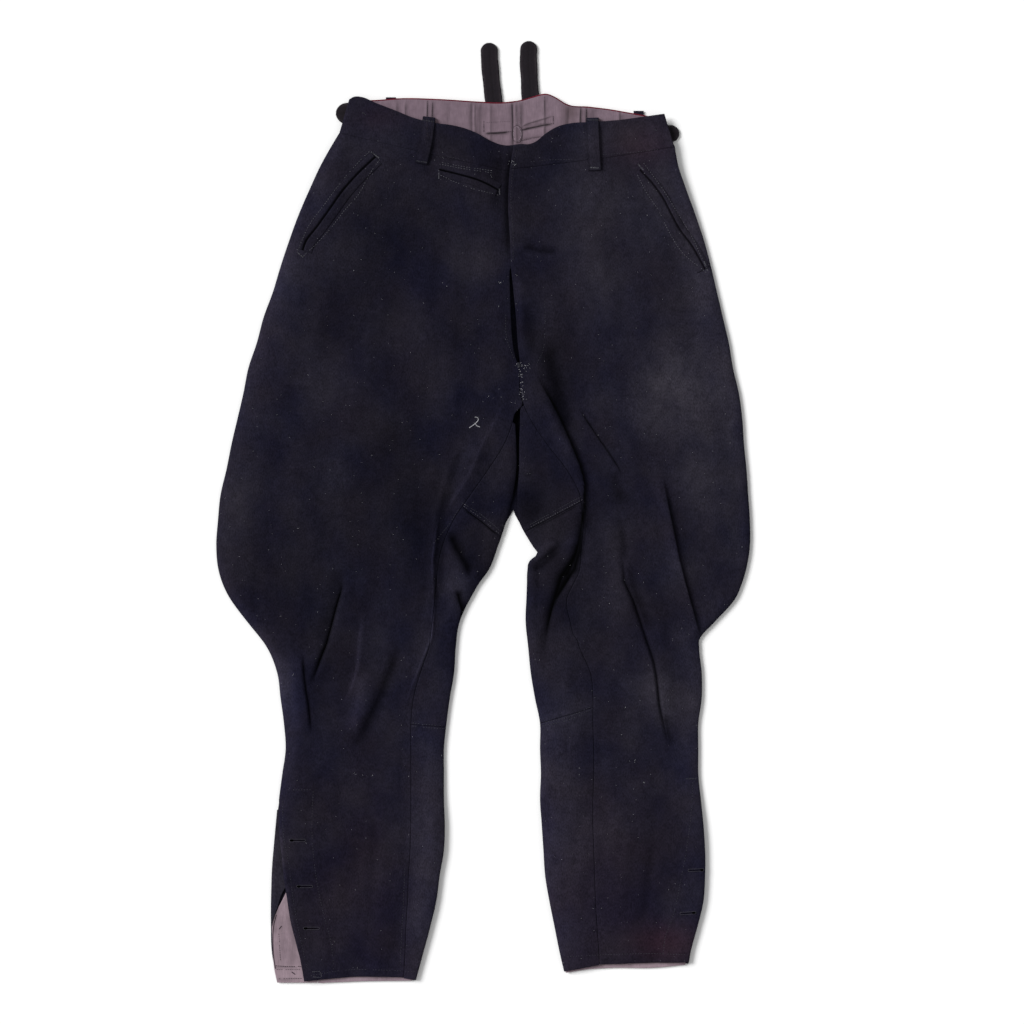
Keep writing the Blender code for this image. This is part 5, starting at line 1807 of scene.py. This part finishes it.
STITCH_GROUPS: dict[str, tuple[str, tuple[Run, ...]]] = {
    "pocket_stitches": ("pale", (
        Run(RIGHT_SLIT_OUTER), Run(RIGHT_SLIT_INNER), Run(LEFT_SLIT_OUTER),
        Run(LEFT_SLIT_INNER),
        Run(((-52, 413), (-20, 407), (12, 402.5))), Run(((-52, 410.5), (-20, 404.5), (12, 400))),
        Run(((-50.5, 397.5), (-29.5, 388), (-10.5, 381), (8.5, 376.5), (20, 373.5))),
        tack(((-52, 403.5), (-52, 393)), 0.8, 1.8, 0.5),
        tack(((19, 382.5), (20, 374)), 0.8, 1.8, 0.5),
        tack(((-219.5, 307), (-212.5, 301))),
        tack(((-132, 425), (-122.5, 417.5))),
        tack(((261, 296), (265.5, 284.5))),
        tack(((183, 410.5), (189, 403.5))))),
    "patch_stitches": ("pale", (
        Run(((-26, 9), (-2.5, -7), (20.5, -26.5)), thick=0.42),
        Run(((118, 15), (87.5, -1), (56.5, -17.5)), thick=0.48))),
    "fly_stitches": ("grey", (
        Run(((73, 250), (73, 215), (71, 191), (63.5, 174.5))),
        Run(((27, 233.5), (27, 212.5), (29.5, 199.5), (36.5, 181.5))),
        Run(((39.5, 427), (34, 392), (33, 362.5), (35.5, 330.5), (35.5, 295))),
        tack(((34, 409.5), (40, 410)), 0.9, 2.4, 0.6),
        tack(((42, 177), (42.5, 171)), 0.7, 5.0, 0.55, 0.15))),
    "crotch_seam": ("fuzz", (
        Run(((42.5, 172.5), (45, 158), (46.5, 144), (47, 131)), 1.5, 1.6, 0.35, False, 0.7, 0.4),
        Run(((-202, -543), (-192.5, -543), (-191, -548.5), (-200.5, -549)), 1.5, 1.6, 0.4, False,
            0.3))),
    "waist_stitches": ("grey", (
        Run(((-55.5, 419), (-38, 418.5), (-17.5, 413.5))),
        Run(((55.5, 413), (73, 415), (106, 416))),
        Run(((140.5, 421.5), (173.5, 424), (209, 428))),
        tack(((-72, 462.5), (-58, 460)), 0.7, 2.0, 0.5),
        tack(((-79, 414), (-66, 412)), 0.7, 2.0, 0.5),
        tack(((122.5, 462.5), (135.5, 462)), 0.7, 2.0, 0.5),
        tack(((-143, 472), (-138, 468.5)), 0.8, 1.6, 0.5, 0.4),
        tack(((200.5, 452), (205.5, 449.5)), 0.8, 1.6, 0.5, 0.4))),
    "loop_tack": ("pale", (tack(((126.5, 406), (138, 405.5)), 0.7, 2.2, 0.55),)),
    "lining_knot": ("knot", (
        Run(((37, 453), (36, 447), (38, 440), (42, 439), (45, 444.5), (43.5, 451.5),
             (40, 455), (37, 453)), 1.0, 1.7, 0.8, False, 0.25),
        Run(((40, 472), (39.5, 462.5), (40, 454.5)), 1.6, 2.0, 0.5, False, 0.3),
        Run(((44, 469.5), (43.5, 461.5), (42, 453)), 1.6, 2.0, 0.5, False, 0.3))),
    "lining_stitches": ("dark", (
        Run(((35.5, 454.5), (34, 447), (36.5, 438.5), (42.5, 436.5), (46.5, 444.5), (45.5, 453),
             (40, 456.5), (35.5, 454.5)), 1.0, 1.7, 0.55, False, 0.15, 0.0),
        tack(((1, 461.5), (1, 448.5))),
        tack(((83, 467.5), (83, 458))),
        Run(((3.5, 447.5), (33, 449.5)), 2.3, 2.2, 0.7),
        Run(((43.5, 451), (62.5, 455.5), (82.5, 459)), 2.3, 2.2, 0.7),
        Run(((43.5, 438.5), (69.5, 443.5)), 2.3, 2.0, 0.5),
        Run(((3.5, 460), (32, 461.5)), 2.6, 1.8, 0.4),
        Run(((-65.5, 486), (-66, 462.5), (-65.5, 439)), 2.3, 2.1, 0.6),
        Run(((-59.5, 486), (-60, 462.5), (-60, 443.5)), 2.3, 2.1, 0.5),
        Run(((115.5, 479), (115, 467.5), (115, 455.5)), 2.3, 2.1, 0.6),
        Run(((122, 478), (122, 462.5)), 2.3, 2.1, 0.6),
        Run(((34, 484), (34.5, 469.5), (35, 455.5)), 2.3, 2.1, 0.6),
        Run(((72.5, 491), (73, 472)), 2.3, 2.0, 0.45))),
    "leg_stitches": ("grey", (
        Run(((-84, -249), (-65, -251), (-46, -252.5)), thick=0.7),
        Run(((-84, -252.5), (-65, -254.5), (-46, -256)), thick=0.7),
        Run(((69.5, -249), (98, -243), (127.5, -230)), thick=0.7),
        Run(((69.5, -252.5), (98, -246.5), (127.5, -233.5)), thick=0.7),
        Run(((-92, -420), (-94.5, -469.5), (-98, -535.5))),
        Run(((-28.5, 3.5), (-43.5, -19), (-58, -36.5))),
        Run(((-25, 11), (-1, -4), (21, -23)), 2.4, 2.1),
        Run(((116, 18.5), (86, 2), (55.5, -15)), 2.4, 2.1),
        Run(((-200.5, -329), (-202, -370.5), (-199.5, -410.5), (-196, -436.5), (-185.5, -485),
            (-180.5, -502.5), (-176, -540.5))),
        Run(((-231.5, -328), (-202, -328))),
        Run(((-237, -340), (-235, -383.5), (-230, -410.5), (-227, -434), (-220.5, -479),
            (-212.5, -517), (-207.5, -540.5))),
        Run(((248, -315), (246.5, -345.5), (240.5, -395.5), (233.5, -434), (224, -478),
            (215, -502.5), (212.5, -522.5))),
        tack(((239.5, -315), (252.5, -315))),
        tack(((216, -533.5), (222, -532)), 0.8, 2.4, 0.6),
        Run(((-204, -547.5), (-168.5, -541.5), (-128.5, -540.5), (-80, -543))),
        Run(((99, -525), (138, -523), (185.5, -521.5), (239.5, -522.5))))),
    "vent_stitches": ("dark", (
        Run(((-244.5, -476.5), (-247.5, -488.5), (-248.5, -511), (-247, -531), (-245.5, -540.5)),
            1.6, 2.4, 1.2, False, 0.05, 0.0),
        Run(((-245.5, -536.5), (-227.5, -537.5), (-213.5, -537)), 2.6, 2.5, 1.1),
        Run(((-244.5, -541), (-227.5, -541), (-215, -541)), 2.6, 2.3, 0.7),
        Run(((-242, -552), (-213.5, -551.5)), 2.8, 2.4, 0.8),
        Run(((-241.5, -498), (-239.5, -531)), 2.7, 2.3, 0.7),
        Run(((-241, -493), (-238, -489)), 1.1, 2.0, 1.2),
        Run(((-226, -544), (-222.5, -546.5)), 1.1, 2.4, 1.5))),
}


@dataclass
class Studio:
    """Pale floor, soft light and the camera that looks straight down."""

    height: float = 3.366
    offset: float = 0.0342
    focal: float = 100.0
    sun: float = 3.6
    toward: tuple = (0.78, -0.36, -0.62)
    sky: float = 0.46

    def build(self) -> None:
        """Builds the floor, the lights, the world and the camera."""
        self.floor()
        light = bpy.data.lights.new("window_light", "SUN")
        light.energy, light.angle = self.sun, np.radians(28.0)
        lamp = bpy.data.objects.new("window_light", light)
        lamp.rotation_euler = Vector(self.toward).to_track_quat("-Z", "Y").to_euler()
        lamp.location = (-2.0, 1.0, 2.0)
        bpy.context.scene.collection.objects.link(lamp)
        world = bpy.data.worlds.new("studio")
        world.use_nodes = True
        world.node_tree.nodes["Background"].inputs["Color"].default_value = (1.0, 1.0, 1.0, 1.0)
        world.node_tree.nodes["Background"].inputs["Strength"].default_value = self.sky
        bpy.context.scene.world = world
        lens = bpy.data.cameras.new("camera")
        lens.lens, lens.sensor_width, lens.dof.use_dof = self.focal, 36.0, False
        camera = bpy.data.objects.new("camera", lens)
        camera.location = (self.offset, 0.0, self.height)
        bpy.context.scene.collection.objects.link(camera)
        bpy.context.scene.camera = camera
        bpy.context.scene.view_settings.view_transform = "Standard"

    def floor(self) -> None:
        """Builds the floor just under the cloth."""
        bpy.ops.object.select_all(action="DESELECT")
        bpy.ops.mesh.primitive_grid_add(x_subdivisions=8, y_subdivisions=8, size=9.0,
                                        location=(0.0, 0.0, -0.0003))
        ground = bpy.context.object
        ground.name = "floor"
        r = Recipe("pale_floor")
        colour = r.blend(r.spread(r.noise(3.0), 0.3, 0.7), (0.95, 0.95, 0.95), (0.93, 0.93, 0.93))
        ground.data.materials.append(r.finish(colour, r.bump(r.noise(60.0), 0.02, 0.0002), 0.9,
                                              0.1, 0.0, (1.0, 1.0, 1.0)))


def main() -> None:
    """Builds the breeches, the stitching and the studio."""
    logging.basicConfig(level=logging.INFO, format="%(message)s")
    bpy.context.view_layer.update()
    wool, tape = WoolFinish().make(), TapeFinish().make()
    twill = TwillFinish("mauve_lining", (0.175, 0.125, 0.155), (0.150, 0.105, 0.132)).make()
    vent = TwillFinish("mauve_facing", (0.285, 0.212, 0.245), (0.240, 0.176, 0.208)).make()
    piped = WoolFinish("piped_wool", rusty=(0.13, 0.010, 0.020)).make()
    threads = {
        "pale": ThreadFinish("pale_thread", (0.135, 0.135, 0.155)).make(),
        "grey": ThreadFinish("grey_thread", (0.042, 0.042, 0.055)).make(),
        "knot": ThreadFinish("knot_thread", (0.30, 0.235, 0.28)).make(),
        "fuzz": ThreadFinish("fuzzy_thread", (0.15, 0.15, 0.17)).make(),
        "dark": ThreadFinish("dark_thread", (0.030, 0.018, 0.028)).make(),
        "edge": ThreadFinish("buttonhole_thread", (0.032, 0.030, 0.040)).make(),
        # Near-black thread that paints the shade inside the buttonholes
        "cut": ThreadFinish("buttonhole_shadow", (0.0006, 0.0006, 0.0008), 0.0).make(),
        "fluff": ThreadFinish("fluff", (0.42, 0.42, 0.45)).make(),
    }
    legs = {Side.RIGHT: LegForm(RIGHT_SECTIONS, RIGHT_RELIEF, Ripples(3)),
            # The left leg's edges get their own painted highlight, level by level
            Side.LEFT: LegForm(LEFT_SECTIONS, LEFT_RELIEF, Ripples(4),
                               rubbed_and_lit=((460, 0.3), (300, 0.5), (150, 0.35), (0, 0.1),
                                       (-100, 0.2), (-230, 0.5), (-400, 0.5), (-557, 0.3)))}
    Studio().build()
    pieces = LegPanels(legs, wool).build()
    pieces |= Waist(legs, wool, twill, piped).build()
    pieces |= Ankles(wool, vent).build()
    surface = Surface([pieces[name] for name in (
        "front_right", "front_left", "waistband_front_right", "waistband_front_left",
        "waist_lining", "inner_thigh_right", "inner_thigh_left", "inner_calf_right",
        "inner_calf_left", "saddle_patch_right", "saddle_patch_left", "vent_lining_right")])
    pockets = Pockets(surface, wool).build()
    surface.add(*pockets.values())
    loops = LoopsAndTabs(surface, wool, tape).build()
    surface.add(*loops.values())
    stitching = Stitching(surface)
    for name, (thread, runs) in STITCH_GROUPS.items():
        stitching.sew(name, threads[thread], runs)
    Buttonholes(surface, threads["edge"], threads["cut"]).build()
    Lint(surface, threads["fluff"]).build()


if __name__ == "__main__":
    main()
